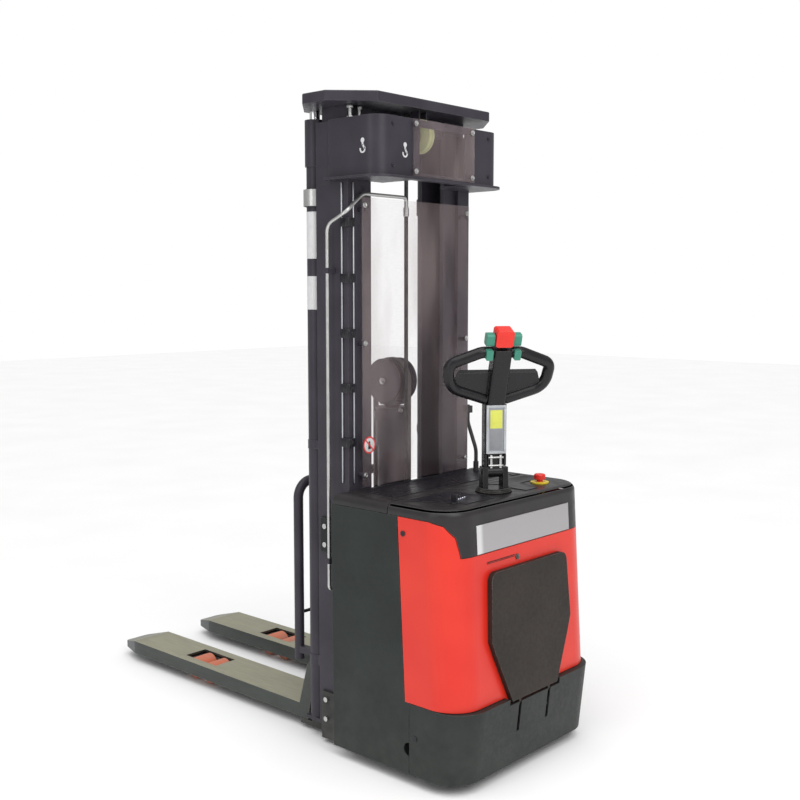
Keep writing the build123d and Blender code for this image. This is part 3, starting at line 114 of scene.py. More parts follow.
class StackerSizes(bpy.types.PropertyGroup):
    chain_pitch: length("Chain pitch", "From pin to pin of the lift chain", 15.875)
    sign_width: length("Sign width", "Diameter of the round sign on the guard", 58)
    label_film: length("Label film", "Thickness of a stuck-on label", 0.4)
    stud_radius: length("Stud radius", "Radius of the chain anchor studs under the top plate", 6)
    rib_pitch: length("Mat rib pitch", "From rib to rib of the platform's mat", 14)
    # Radius of the glowing white dots on the console, which paint glints.
    glint_dot_radius: length("Lamp radius", "Radius of an indicator lamp on the console", 2.4)
    clip_count: IntProperty(name="Rail clips", description="Clips along the left rail's tubes", default=5,
                            min=2, max=12)


class StackerColours(bpy.types.PropertyGroup):
    cover_red: paint("Cover", "Drive cover", (0.66, 0.017, 0.009))
    body_dark: paint("Casing", "Casing and skirt", (0.017, 0.0215, 0.020))
    mast: paint("Mast", "Mast rails, box and plate", (0.037, 0.033, 0.043))
    chassis: paint("Chassis", "Legs and floor frame", (0.015, 0.018, 0.018))
    fork_side: paint("Fork side", "Sides of the fork blades", (0.026, 0.032, 0.027))
    # Light colour of the fork tops: painted light from above, with wear scratches on it.
    fork_lit_top: paint("Fork top", "Worn tops of the fork blades", (0.36, 0.345, 0.25))
    console: paint("Console", "Console and battery lid", (0.020, 0.018, 0.0185))
    trim: paint("Trim", "Brushed stripe", (0.50, 0.485, 0.495))
    # Tint of the clear guards; the lighter diagonal patches on it are painted reflections.
    guard: paint("Guard", "Haze of the clear guards", (0.30, 0.22, 0.23))
    platform: paint("Platform", "Fold-up platform", (0.024, 0.018, 0.014))
    tiller: paint("Tiller", "Tiller head and column", (0.008, 0.0075, 0.009))
    button_red: paint("Red button", "Safety and stop buttons", (0.74, 0.030, 0.020))
    paddle: paint("Paddles", "Travel paddles and thumb buttons", (0.045, 0.24, 0.165))
    wheel: paint("Load wheel", "Polyurethane load wheels", (0.58, 0.15, 0.07))


def sizes():
    return bpy.context.scene.stacker_sizes


def colours():
    return bpy.context.scene.stacker_colours


# ---- finishes -----------------------------------------------------------------------------
MIXED = {}
OTHER_FINISH = {"cover_screws": "tray_black", "key": "tray_black"}


def new_finish(name):
    """A material and its shader, with nothing on it yet."""
    finish = bpy.data.materials.new(name)
    finish.use_nodes = True
    MIXED[name] = finish
    return finish, finish.node_tree, finish.node_tree.nodes["Principled BSDF"]


def coords(tree, stretch=(1, 1, 1)):
    """Place on the piece in metres, stretched."""
    source = tree.nodes.new("ShaderNodeTexCoord")
    mapping = tree.nodes.new("ShaderNodeMapping")
    mapping.inputs["Scale"].default_value = stretch
    tree.links.new(source.outputs["Object"], mapping.inputs["Vector"])
    return mapping.outputs["Vector"]


def tinted(tree, shader, colour, roughness):
    """Joins the colour and the roughness to the shader."""
    tree.links.new(colour, shader.inputs["Base Color"])
    tree.links.new(roughness, shader.inputs["Roughness"])


def clouds(tree, where, scale, detail=3.0, rough=0.5):
    noise = tree.nodes.new("ShaderNodeTexNoise")
    noise.inputs["Scale"].default_value = scale
    noise.inputs["Detail"].default_value = detail
    noise.inputs["Roughness"].default_value = rough
    tree.links.new(where, noise.inputs["Vector"])
    return noise.outputs["Fac"]


def cells(tree, where, scale):
    """Pebbled grain of moulded plastic."""
    voronoi = tree.nodes.new("ShaderNodeTexVoronoi")
    voronoi.feature = "SMOOTH_F1"
    voronoi.inputs["Scale"].default_value = scale
    tree.links.new(where, voronoi.inputs["Vector"])
    return voronoi.outputs["Distance"]


def spread(tree, value, low, high, start=0.3, stop=0.7):
    """The value between start and stop, spread from low to high."""
    band = tree.nodes.new("ShaderNodeMapRange")
    band.inputs["From Min"].default_value = start
    band.inputs["From Max"].default_value = stop
    band.inputs["To Min"].default_value = low
    band.inputs["To Max"].default_value = high
    tree.links.new(value, band.inputs["Value"])
    return band.outputs["Result"]


def reckon(tree, kind, first, second):
    """First and second joined by one sum; either may be a number."""
    sum_node = tree.nodes.new("ShaderNodeMath")
    sum_node.operation = kind
    for slot, value in zip(sum_node.inputs, (first, second)):
        if isinstance(value, (int, float)):
            slot.default_value = value
        else:
            tree.links.new(value, slot)
    return sum_node.outputs["Value"]


def blend_colours(tree, share, first, second):
    """From the first colour to the second; either may be a colour or a node's output."""
    mix = tree.nodes.new("ShaderNodeMix")
    mix.data_type = "RGBA"
    tree.links.new(share, mix.inputs["Factor"])
    for slot, value in ((mix.inputs[6], first), (mix.inputs[7], second)):
        if hasattr(value, "node"):
            tree.links.new(value, slot)
        else:
            slot.default_value = (*value, 1)
    return mix.outputs[2]


def relief(tree, shader, heights, rounding=0.0):
    """Bumps laid on one another, each (height, strength, depth in metres), over rounded edges."""
    normal = None
    if rounding:
        bevel = tree.nodes.new("ShaderNodeBevel")
        bevel.samples = 4
        bevel.inputs["Radius"].default_value = rounding
        normal = bevel.outputs["Normal"]
    for height, strength, depth in heights:
        bump = tree.nodes.new("ShaderNodeBump")
        bump.inputs["Strength"].default_value = strength
        bump.inputs["Distance"].default_value = depth
        tree.links.new(height, bump.inputs["Height"])
        if normal:
            tree.links.new(normal, bump.inputs["Normal"])
        normal = bump.outputs["Normal"]
    if normal:
        tree.links.new(normal, shader.inputs["Normal"])


def edge_share(tree, radius, start=0.02, stop=0.16):
    """Near 1 on sharp edges, where paint wears first, and 0 on flats."""
    bevel = tree.nodes.new("ShaderNodeBevel")
    bevel.samples = 4
    bevel.inputs["Radius"].default_value = radius
    flat = tree.nodes.new("ShaderNodeNewGeometry")
    compare = tree.nodes.new("ShaderNodeVectorMath")
    compare.operation = "DOT_PRODUCT"
    tree.links.new(bevel.outputs["Normal"], compare.inputs[0])
    tree.links.new(flat.outputs["Normal"], compare.inputs[1])
    return spread(tree, reckon(tree, "SUBTRACT", 1.0, compare.outputs["Value"]), 0.0, 1.0, start, stop)


def part_of(tree, source, axis):
    """One part, X, Y or Z, of a vector."""
    split = tree.nodes.new("ShaderNodeSeparateXYZ")
    tree.links.new(source, split.inputs["Vector"])
    return split.outputs[axis]


def shade(colour, factor):
    return tuple(min(1.0, channel * factor) for channel in colour)


def toward(colour, other, share):
    return tuple(a + (b - a) * share for a, b in zip(colour, other))


def coated_steel(name, colour, gloss, worn, edge=0.0016, floor_dust=0.0):
    """Powder-coated steel: orange peel, uneven gloss, lighter worn edges and dust near the floor."""
    finish, tree, shader = new_finish(name)
    shader.inputs["Specular IOR Level"].default_value = 0.24
    where = coords(tree)
    broad = clouds(tree, where, 6, 4)
    fine = clouds(tree, where, 70, 5, 0.65)
    tint = blend_colours(tree, spread(tree, broad, 0, 1), shade(colour, 0.82), shade(colour, 1.22))
    scuff = reckon(tree, "MULTIPLY", edge_share(tree, 0.0035), spread(tree, fine, 0.1, 0.85, 0.4, 0.62))
    tint = blend_colours(tree, scuff, tint, worn)
    if floor_dust:
        height = part_of(tree, where, "Z")
        low = spread(tree, height, floor_dust, 0.0, 0.03, 0.45)
        dust = reckon(tree, "MULTIPLY", low, spread(tree, clouds(tree, where, 22, 4), 0.3, 1.0))
        tint = blend_colours(tree, dust, tint, (0.16, 0.15, 0.135))
    tinted(tree, shader, tint, spread(tree, fine, gloss - 0.07, gloss + 0.1))
    peel = clouds(tree, where, 260, 2)
    relief(tree, shader, [(peel, 0.12, 0.0006), (broad, 0.06, 0.002)], edge)
    return finish


def moulded(name, colour, gloss, grain=900, grain_depth=0.00025, rub=0.25, edge=0.0014):
    """Moulded plastic with a pebbled grain, rubbed a little smoother and lighter in patches."""
    finish, tree, shader = new_finish(name)
    shader.inputs["Specular IOR Level"].default_value = 0.34
    where = coords(tree)
    broad = clouds(tree, where, 9, 3)
    patches = clouds(tree, where, 38, 5, 0.6)
    light = blend_colours(tree, spread(tree, broad, 0, 1), shade(colour, 0.85), shade(colour, 1.18))
    edges = reckon(tree, "MULTIPLY", edge_share(tree, 0.003), rub)
    tinted(tree, shader,
           blend_colours(tree, edges, light, toward(colour, (0.5, 0.5, 0.5), 0.35)),
           spread(tree, patches, gloss - 0.06, gloss + 0.1))
    relief(tree, shader, [(cells(tree, where, grain), 0.25, grain_depth), (broad, 0.05, 0.002)], edge)
    return finish


def bare_metal(name, colour, gloss, brushing=None, patches=0.12, edge=0.0008):
    """Metal with its own colour; brushing stretches the scratches along one axis."""
    finish, tree, shader = new_finish(name)
    shader.inputs["Metallic"].default_value = 1.0
    where = coords(tree)
    lines = clouds(tree, coords(tree, brushing or (1, 1, 1)), 420, 4, 0.7)
    broad = clouds(tree, where, 24, 4)
    tint = blend_colours(tree, spread(tree, broad, 0, 1), shade(colour, 1 - patches),
                         shade(colour, 1 + patches))
    tint = blend_colours(tree, spread(tree, lines, 0.0, 0.35), tint, shade(colour, 0.6))
    tinted(tree, shader, tint, spread(tree, lines, gloss - 0.06, gloss + 0.14))
    relief(tree, shader, [(lines, 0.2, 0.00015)], edge)
    return finish


def rubber(name, colour, gloss, scuffed, grain=600):
    """Rubber: matt, faintly pitted and greyed where it is rubbed."""
    finish, tree, shader = new_finish(name)
    where = coords(tree)
    wear = clouds(tree, where, 30, 6, 0.65)
    tinted(tree, shader,
           blend_colours(tree, spread(tree, wear, 0, 0.7, 0.42, 0.75), colour, scuffed),
           spread(tree, wear, gloss, gloss + 0.18))
    relief(tree, shader, [(cells(tree, where, grain), 0.3, 0.0004)], 0.0015)
    return finish


def printed(name, colour, gloss):
    """A stuck-on film or small lacquered piece, faintly yellowed and scuffed."""
    finish, tree, shader = new_finish(name)
    where = coords(tree)
    stain = clouds(tree, where, 45, 5, 0.6)
    tinted(tree, shader,
           blend_colours(tree, spread(tree, stain, 0, 0.5, 0.45, 0.8), colour, shade(colour, 0.72)),
           spread(tree, stain, gloss - 0.05, gloss + 0.12))
    relief(tree, shader, [(stain, 0.08, 0.0004)], 0.0004)
    return finish


def cover_finish():
    """Glossy orange-red shell under a clear coat, slightly wavy as a big moulding is."""
    colour = tuple(colours().cover_red)
    finish, tree, shader = new_finish("cover_red")
    where = coords(tree)
    broad = clouds(tree, where, 3.2, 2)
    fine = clouds(tree, where, 120, 4, 0.6)
    tint = blend_colours(tree, spread(tree, broad, 0, 1), shade(colour, 0.92),
                         toward(colour, (0.76, 0.05, 0.02), 0.5))
    rubbed = reckon(tree, "MULTIPLY", edge_share(tree, 0.003), 0.3)
    tinted(tree, shader, blend_colours(tree, rubbed, tint, (0.8, 0.16, 0.10)), spread(tree, fine, 0.3, 0.42))
    shader.inputs["Specular IOR Level"].default_value = 0.36
    shader.inputs["Coat Weight"].default_value = 0.12
    shader.inputs["Coat Roughness"].default_value = 0.22
    relief(tree, shader, [(fine, 0.06, 0.0003), (broad, 0.1, 0.003)], 0.002)
    return finish


def fork_finish():
    """Fork blades: dark painted sides, bare steel nose, and tops painted a light olive-grey that stands for
    light from above, with long wear scratches on them.
    """
    finish, tree, shader = new_finish("fork_paint")
    where = coords(tree)
    up = part_of(tree, tree.nodes.new("ShaderNodeNewGeometry").outputs["Normal"], "Z")
    along = part_of(tree, where, "Y")
    scratches = clouds(tree, coords(tree, (60, 2.2, 60)), 5, 6, 0.7)
    broad = clouds(tree, where, 7, 5)
    top = tuple(colours().fork_lit_top)
    # Tops lighter than the sides: painted light from above; the scratch pattern in it is wear.
    worn = blend_colours(tree, spread(tree, scratches, 0, 1, 0.35, 0.7), shade(top, 0.72), shade(top, 1.15))
    side = blend_colours(tree, spread(tree, broad, 0, 1), shade(colours().fork_side, 0.8),
                         shade(colours().fork_side, 1.3))
    edge = reckon(tree, "MULTIPLY", edge_share(tree, 0.004), spread(tree, scratches, 0.2, 1.0, 0.35, 0.6))
    side = blend_colours(tree, edge, side, (0.22, 0.22, 0.2))
    # Share of painted top light, by how far a face looks up.
    lit_top_share = spread(tree, up, 0.0, 1.0, 0.25, 0.6)
    tint = blend_colours(tree, lit_top_share, side, worn)
    tip = extent("fork_left")[1].y * MM
    nose = spread(tree, along, 0.0, 0.7, tip - 0.16, tip - 0.02)
    nose = reckon(tree, "MULTIPLY", nose, spread(tree, broad, 0.4, 1.0))
    tinted(tree, shader,
           blend_colours(tree, nose, tint, (0.13, 0.135, 0.15)),
           spread(tree, scratches, 0.3, 0.56))
    tree.links.new(reckon(tree, "MULTIPLY", lit_top_share, 0.35), shader.inputs["Metallic"])
    relief(tree, shader, [(scratches, 0.15, 0.0006), (broad, 0.08, 0.002)], 0.0022)
    return finish


def guard_finish():
    """Clear sheet with a faint rosy tint, streaked where it was wiped, with soft diagonal patches of painted
    reflection that are lighter and less clear.
    """
    finish, tree, shader = new_finish("guard_clear")
    slanted = coords(tree, (2.4, 2.4, 0.75))
    slanted.node.inputs["Rotation"].default_value = (0, math.radians(38), 0)
    # Soft diagonal patches of painted reflection, lighter in colour and more opaque.
    painted_reflection = clouds(tree, slanted, 2.6, 3, 0.45)
    wiped = clouds(tree, coords(tree, (1, 1, 8)), 40, 4)
    tint = blend_colours(tree, spread(tree, painted_reflection, 0, 1), tuple(colours().guard), (0.40, 0.32, 0.32))
    tree.links.new(tint, shader.inputs["Base Color"])
    reflection_and_wipe_alpha = reckon(tree, "ADD", spread(tree, painted_reflection, 0.05, 0.20, 0.42, 0.66), spread(tree, wiped, 0.0, 0.03))
    tree.links.new(reflection_and_wipe_alpha, shader.inputs["Alpha"])
    tree.links.new(spread(tree, wiped, 0.07, 0.2), shader.inputs["Roughness"])
    shader.inputs["Coat Weight"].default_value = 0.5
    shader.inputs["Coat Roughness"].default_value = 0.08
    relief(tree, shader, [(painted_reflection, 0.02, 0.004)])
    return finish


def rod_finish():
    """Hard chrome with fine turning lines round the rod."""
    finish, tree, shader = new_finish("chrome_rod")
    shader.inputs["Metallic"].default_value = 1.0
    turned = clouds(tree, coords(tree, (0.5, 0.5, 40)), 60, 4, 0.7)
    smear = clouds(tree, coords(tree), 35, 4)
    tinted(tree, shader,
           blend_colours(tree, spread(tree, smear, 0, 1), (0.55, 0.56, 0.58), (0.78, 0.79, 0.8)),
           spread(tree, turned, 0.08, 0.22))
    relief(tree, shader, [(turned, 0.1, 0.0001)])
    return finish


def wheel_finish():
    """Salmon polyurethane on the load wheels, scuffed round the tread."""
    finish, tree, shader = new_finish("wheel_pu")
    colour = tuple(colours().wheel)
    around = coords(tree, (1, 8, 8))
    wear = clouds(tree, around, 12, 6, 0.65)
    tinted(tree, shader,
           blend_colours(tree, spread(tree, wear, 0, 0.75, 0.4, 0.75), colour, (0.34, 0.24, 0.2)),
           spread(tree, wear, 0.34, 0.6))
    shader.inputs["Subsurface Weight"].default_value = 0.08
    relief(tree, shader, [(wear, 0.2, 0.0008)], 0.0012)
    return finish


def lamp_finish(name, colour, strength):
    """A small lit lamp behind a frosted lens."""
    finish, tree, shader = new_finish(name)
    fine = clouds(tree, coords(tree), 900, 3)
    tinted(tree, shader,
           blend_colours(tree, spread(tree, fine, 0, 1), shade(colour, 0.8), colour),
           spread(tree, fine, 0.15, 0.3))
    shader.inputs["Emission Color"].default_value = (*colour, 1)
    shader.inputs["Emission Strength"].default_value = strength
    return finish


def trim_finish():
    """The brushed stripe, brighter where its left end turns to the light."""
    colour = tuple(colours().trim)
    finish, tree, shader = new_finish("trim_silver")
    shader.inputs["Metallic"].default_value = 1.0
    where = coords(tree)
    lines = clouds(tree, coords(tree, (0.6, 0.6, 28)), 420, 4, 0.7)
    left = extent("silver_trim")[0].x * MM
    end = spread(tree, part_of(tree, where, "X"), 1.0, 0.0, left + 0.018, left + 0.034)
    tint = blend_colours(tree, end, colour, toward(colour, (0.95, 0.95, 0.95), 0.8))
    tint = blend_colours(tree, spread(tree, lines, 0.0, 0.2), tint, shade(colour, 0.7))
    tinted(tree, shader, tint, spread(tree, lines, 0.3, 0.46))
    relief(tree, shader, [(lines, 0.15, 0.00015)], 0.0012)
    return finish


def mix_finishes():
    """Every finish of the machine, by name."""
    c = colours()
    coated_steel("frame_paint", tuple(c.chassis), 0.5, (0.15, 0.15, 0.14), floor_dust=0.4)
    coated_steel("mast_paint", tuple(c.mast), 0.38, (0.12, 0.11, 0.125))
    coated_steel("body_dark", tuple(c.body_dark), 0.46, (0.10, 0.115, 0.11), edge=0.0025, floor_dust=0.12)
    coated_steel("platform_paint", tuple(c.platform), 0.5, (0.20, 0.19, 0.19), edge=0.003)
    coated_steel("drive_paint", (0.045, 0.047, 0.05), 0.5, (0.16, 0.16, 0.16), floor_dust=0.5)
    coated_steel("unit_grey", (0.12, 0.125, 0.13), 0.45, (0.3, 0.3, 0.3))
    cover_finish()
    fork_finish()
    guard_finish()
    rod_finish()
    wheel_finish()
    moulded("console_plastic", tuple(c.console), 0.34, grain=700, grain_depth=0.0003)
    moulded("tiller_plastic", tuple(c.tiller), 0.26, grain=1100, grain_depth=0.00016, rub=0.35)
    moulded("button_red", tuple(c.button_red), 0.24, grain=1400, grain_depth=0.0001, rub=0.4)
    moulded("paddle_green", tuple(c.paddle), 0.32, grain=1100, grain_depth=0.00014, rub=0.4)
    moulded("estop_yellow", (0.72, 0.55, 0.03), 0.34, grain=1200, grain_depth=0.0001)
    moulded("battery_case", (0.05, 0.052, 0.055), 0.5, grain=500, grain_depth=0.0004)
    moulded("pulley_nylon", (0.5, 0.53, 0.26), 0.4, grain=900, grain_depth=0.0002)
    moulded("tray_black", (0.011, 0.010, 0.014), 0.3, grain=800, grain_depth=0.0002)
    trim_finish()
    bare_metal("zinc", (0.56, 0.56, 0.55), 0.34)
    bare_metal("chain_steel", (0.20, 0.19, 0.18), 0.42, patches=0.25)
    bare_metal("label_grey", (0.34, 0.35, 0.38), 0.42, brushing=(1, 1, 24), patches=0.06)
    bare_metal("rail_silver", (0.50, 0.52, 0.54), 0.38, brushing=(20, 20, 0.8), patches=0.08)
    rubber("hose_rubber", (0.013, 0.013, 0.014), 0.5, (0.06, 0.06, 0.06))
    rubber("tyre_black", (0.017, 0.017, 0.018), 0.62, (0.10, 0.095, 0.09), grain=350)
    rubber("mat_rubber", (0.02, 0.019, 0.018), 0.6, (0.09, 0.085, 0.08), grain=420)
    printed("label_white", (0.62, 0.62, 0.63), 0.38)
    printed("label_yellow", (0.62, 0.64, 0.10), 0.4)
    printed("label_pale_grey", (0.22, 0.225, 0.24), 0.4)
    printed("sign_red", (0.68, 0.03, 0.03), 0.36)
    printed("screen_black", (0.012, 0.013, 0.016), 0.12)
    # Near-black red for the groove strips on the cover: painted shade.
    printed("line_dark", (0.055, 0.008, 0.006), 0.6)
    # Glowing white for the dots on the console tray: painted glints, not lamps.
    lamp_finish("lamp_white", (0.75, 0.78, 0.9), 0.6)
    lamp_finish("lamp_green", (0.25, 0.85, 0.35), 0.9)


# ---- workshop -----------------------------------------------------------------------------
def clear_selection():
    if bpy.context.mode != "OBJECT":
        bpy.ops.object.mode_set(mode="OBJECT")
    bpy.ops.object.select_all(action="DESELECT")


def take(*pieces):
    """Only these are selected, and the first is the active one."""
    clear_selection()
    for piece in pieces:
        piece.select_set(True)
    bpy.context.view_layer.objects.active = pieces[0]
    return pieces[0]


def settle(piece, name):
    """Puts the piece's place into its mesh, so that the object itself sits at the origin."""
    take(piece)
    bpy.ops.object.transform_apply(location=True, rotation=True, scale=True)
    piece.name = name
    piece.data.name = name
    return piece


def slab(name, x, y, z):
    """Block between two values on each axis, in millimetres."""
    clear_selection()
    centre = [(a + b) / 2 * MM for a, b in (x, y, z)]
    size = [abs(b - a) * MM for a, b in (x, y, z)]
    bpy.ops.mesh.primitive_cube_add(size=1, location=centre, scale=size)
    return settle(bpy.context.object, name)


def turned(name, centre, radius, depth, lay="Z", sides=32, ends="NGON"):
    """Round stock round a centre, its axis along lay, in millimetres."""
    clear_selection()
    bpy.ops.mesh.primitive_cylinder_add(vertices=sides, radius=radius * MM, depth=depth * MM,
                                        end_fill_type=ends, location=[v * MM for v in centre],
                                        rotation=LAY[lay])
    return settle(bpy.context.object, name)


def pick(piece, test):
    """In edit mode, with the faces selected whose middle, in millimetres, and normal pass the test."""
    take(piece)
    bpy.ops.object.mode_set(mode="EDIT")
    bpy.ops.mesh.select_mode(type="FACE")
    bpy.ops.mesh.select_all(action="DESELECT")
    bpy.ops.object.mode_set(mode="OBJECT")
    for face in piece.data.polygons:
        face.select = test(face.center / MM, face.normal)
    bpy.ops.object.mode_set(mode="EDIT")


def done():
    bpy.ops.object.mode_set(mode="OBJECT")


def sunk(piece, test, rim, depth):
    """Insets the faces that pass the test and pushes their middle in, or out below zero."""
    pick(piece, test)
    bpy.ops.mesh.inset(thickness=rim * MM, depth=-depth * MM, use_boundary=True)
    done()
    return piece


def softened(piece, width, segments=2, angle=35):
    """Rounds the piece's sharp edges."""
    take(piece)
    bpy.ops.object.modifier_add(type="BEVEL")
    bevel = piece.modifiers[-1]
    bevel.width = width * MM
    bevel.segments = segments
    bevel.limit_method = "ANGLE"
    bevel.angle_limit = math.radians(angle)
    bpy.ops.object.modifier_apply(modifier=bevel.name)
    return piece


def thickened(piece, thickness):
    """Gives an open shell its wall, outwards."""
    take(piece)
    bpy.ops.object.modifier_add(type="SOLIDIFY")
    wall = piece.modifiers[-1]
    wall.thickness = thickness * MM
    wall.offset = 1.0
    bpy.ops.object.modifier_apply(modifier=wall.name)
    return piece


def copied(piece, name, move):
    """A copy with its own mesh, moved by so many millimetres."""
    take(piece)
    bpy.ops.object.duplicate()
    twin = bpy.context.object
    twin.location = Vector(move) * MM
    return settle(twin, name)


def placed(piece, matrix):
    """The piece carried to another place by a matrix in metres."""
    piece.matrix_world = matrix
    return settle(piece, piece.name)


def joined(name, pieces):
    take(*pieces)
    if len(pieces) > 1:
        bpy.ops.object.join()
    whole = bpy.context.object
    whole.name = name
    whole.data.name = name
    return whole


def fitted(piece, body, finish, smooth=32):
    """Shades a piece, gives it its finish and sets it riding its body."""
    take(piece)
    bpy.ops.object.shade_smooth_by_angle(angle=math.radians(smooth))
    piece.data.materials.clear()
    piece.data.materials.append(MIXED[finish])
    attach(piece, body)
    if not piece.data.polygons:
        raise RuntimeError(f"{piece.name} has no faces")
    return piece


def outline_plate(name, points, thickness, lay="Y"):
    """Flat plate from an outline: points run round in the plane across lay, in millimetres."""
    clear_selection()
    bpy.ops.mesh.primitive_circle_add(vertices=len(points), radius=1, fill_type="NGON")
    plate = bpy.context.object
    for corner, point in zip(plate.data.vertices, points):
        corner.co = Vector(point) * MM
    settle(plate, name)
    pick(plate, lambda middle, normal: True)
    push = {"X": (1, 0, 0), "Y": (0, 1, 0), "Z": (0, 0, 1)}[lay]
    bpy.ops.mesh.extrude_region_move(TRANSFORM_OT_translate={"value": Vector(push) * thickness * MM})
    bpy.ops.mesh.select_all(action="SELECT")
    bpy.ops.mesh.normals_make_consistent(inside=False)
    done()
    return plate


def arc(centre, radius, start, stop, steps):
    """Points on an arc in a plane, as (across, up) pairs; angles in degrees."""
    span = [math.radians(start + (stop - start) * i / steps) for i in range(steps + 1)]
    return [(centre[0] + radius * math.cos(a), centre[1] + radius * math.sin(a)) for a in span]


def with_tiller():
    """From the tiller's own axes, as if it stood straight ahead, to its place at rest."""
    pivot = Matrix.Translation(Vector((STEER.x, STEER.y, 0)) * MM)
    return pivot @ Matrix.Rotation(tiller_turn(), 4, "Z")


# ---- the machine's small pieces -----------------------------------------------------------
class STACKER_OT_finishes(bpy.types.Operator):
    """Mix the finishes and put them on the frame's own parts"""

    bl_idname = "stacker.finishes"
    bl_label = "Finishes"

    def execute(self, context):
        mix_finishes()
        for name in frame["nodes"]:
            part = bpy.data.objects[name]
            for holder in part.material_slots:
                slot = holder.material.name.split(".")[0]
                holder.material = MIXED[OTHER_FINISH.get(name, slot)]
        return {"FINISHED"}


class STACKER_OT_barrel_labels(bpy.types.Operator):
    """Blank labels round the left lift cylinder, and the bright wrap at its clamp"""

    bl_idname = "stacker.barrel_labels"
    bl_label = "Cylinder labels"

    def execute(self, context):
        film = sizes().label_film / MM
        wraps = (("barrel_label_upper", 30.05, 1682, 1840, 64, "label_grey", "label_white"),
                 ("barrel_label_lower", 30.05, 1510, 1623, 64, "label_grey", "label_white"),
                 ("barrel_clamp_wrap", 40.2, 1858, 1914, 82, "zinc", "zinc"))
        for name, radius, low, high, half_turn, slot, finish in wraps:
            centre = (*LIFT_CYLINDER, (low + high) / 2)
            film_shell = turned(name, centre, radius, high - low, sides=90, ends="NOTHING")
            reach = math.cos(math.radians(half_turn))
            pick(film_shell, lambda spot, normal: -normal.x < reach)
            bpy.ops.mesh.delete(type="FACE")
            done()
            thickened(film_shell, film)
            fitted(film_shell, "chassis", finish)
        return {"FINISHED"}


class STACKER_OT_lift_signs(bpy.types.Operator):
    """Generic lifting-hook signs on the mast's top box"""

    bl_idname = "stacker.lift_signs"
    bl_label = "Hook signs"

    def hook(self, name):
        """A hook with its eye, standing in the XZ plane round the origin."""
        bowl = arc((0, -8), 13, 160, 400, 18)
        inner = arc((0, -8), 7.5, 160, 400, 18)
        points = [(x, 0, z) for x, z in bowl] + [(x, 0, z) for x, z in reversed(inner)]
        curl = outline_plate(name, points, -0.5)
        shank = outline_plate(name + "_shank", [(-3, 0, 4), (3, 0, 4), (4, 0, 14), (-4, 0, 14)], -0.5)
        eye_points = [(x, 0, z) for x, z in arc((0, 20), 8, 0, 350, 20)]
        eye = outline_plate(name + "_eye", eye_points, -0.5)
        sunk(eye, lambda spot, normal: normal.y < -0.9, 3.4, 0.25)
        neck = outline_plate(name + "_neck", [(6, 0, -8), (12.5, 0, -8), (4, 0, 8), (-3, 0, 5)], -0.5)
        return joined(name, [curl, shank, eye, neck])

    def execute(self, context):
        low = extent("mast_top_box")[0]
        rear = low.y + BOX_FACE_INSET
        side = low.x + BOX_FACE_INSET
        back = self.hook("hook_sign_rear")
        back.location = Vector((-192, rear - 0.15, 2026)) * MM
        fitted(settle(back, "hook_sign_rear"), "chassis", "label_white")
        flank = self.hook("hook_sign_left")
        flank.matrix_world = (Matrix.Translation(Vector((side - 0.15, -520, 2034)) * MM)
                              @ Matrix.Rotation(-math.pi / 2, 4, "Z"))
        fitted(settle(flank, "hook_sign_left"), "chassis", "label_white")
        return {"FINISHED"}


class STACKER_OT_warning_sign(bpy.types.Operator):
    """Round prohibition sign without words, on the guard's left edge"""

    bl_idname = "stacker.warning_sign"
    bl_label = "Round sign"

    def execute(self, context):
        face = extent("main_guard")[0].y
        radius = sizes().sign_width / MM / 2
        centre = (-250, face - 0.4, 1057)
        disc = turned("sign_disc", centre, radius - 4.5, 0.6, "Y", 48)
        fitted(softened(disc, 0.2), "chassis", "label_white")
        ring = turned("sign_ring", (centre[0], face - 0.5, centre[2]), radius, 0.8, "Y", 48)
        pick(ring, lambda spot, normal: abs(normal.y) > 0.9)
        bpy.ops.mesh.delete(type="FACE")
        done()
        take(ring)
        bpy.ops.object.modifier_add(type="SOLIDIFY")
        wall = ring.modifiers[-1]
        wall.thickness = 5 * MM
        wall.offset = -1.0
        bpy.ops.object.modifier_apply(modifier=wall.name)
        bar = slab("sign_bar", (-radius + 3, radius - 3), (-0.5, 0.2), (-2.4, 2.4))
        bar.matrix_world = (Matrix.Translation(Vector((centre[0], face - 0.6, centre[2])) * MM)
                            @ Matrix.Rotation(math.radians(45), 4, "Y"))
        settle(bar, "sign_bar")
        fitted(joined("sign_ring", [ring, bar]), "chassis", "sign_red")
        figure = turned("sign_figure", (centre[0], face - 0.75, centre[2] + 9), 4.2, 0.3, "Y", 24)
        torso = outline_plate("sign_torso", [
            (centre[0] - 7, face - 0.6, centre[2] - 14), (centre[0] + 7, face - 0.6, centre[2] - 14),
            (centre[0] + 5, face - 0.6, centre[2] + 4), (centre[0] - 5, face - 0.6, centre[2] + 4)], -0.3)
        fitted(joined("sign_figure", [figure, torso]), "chassis", "tray_black")
        return {"FINISHED"}


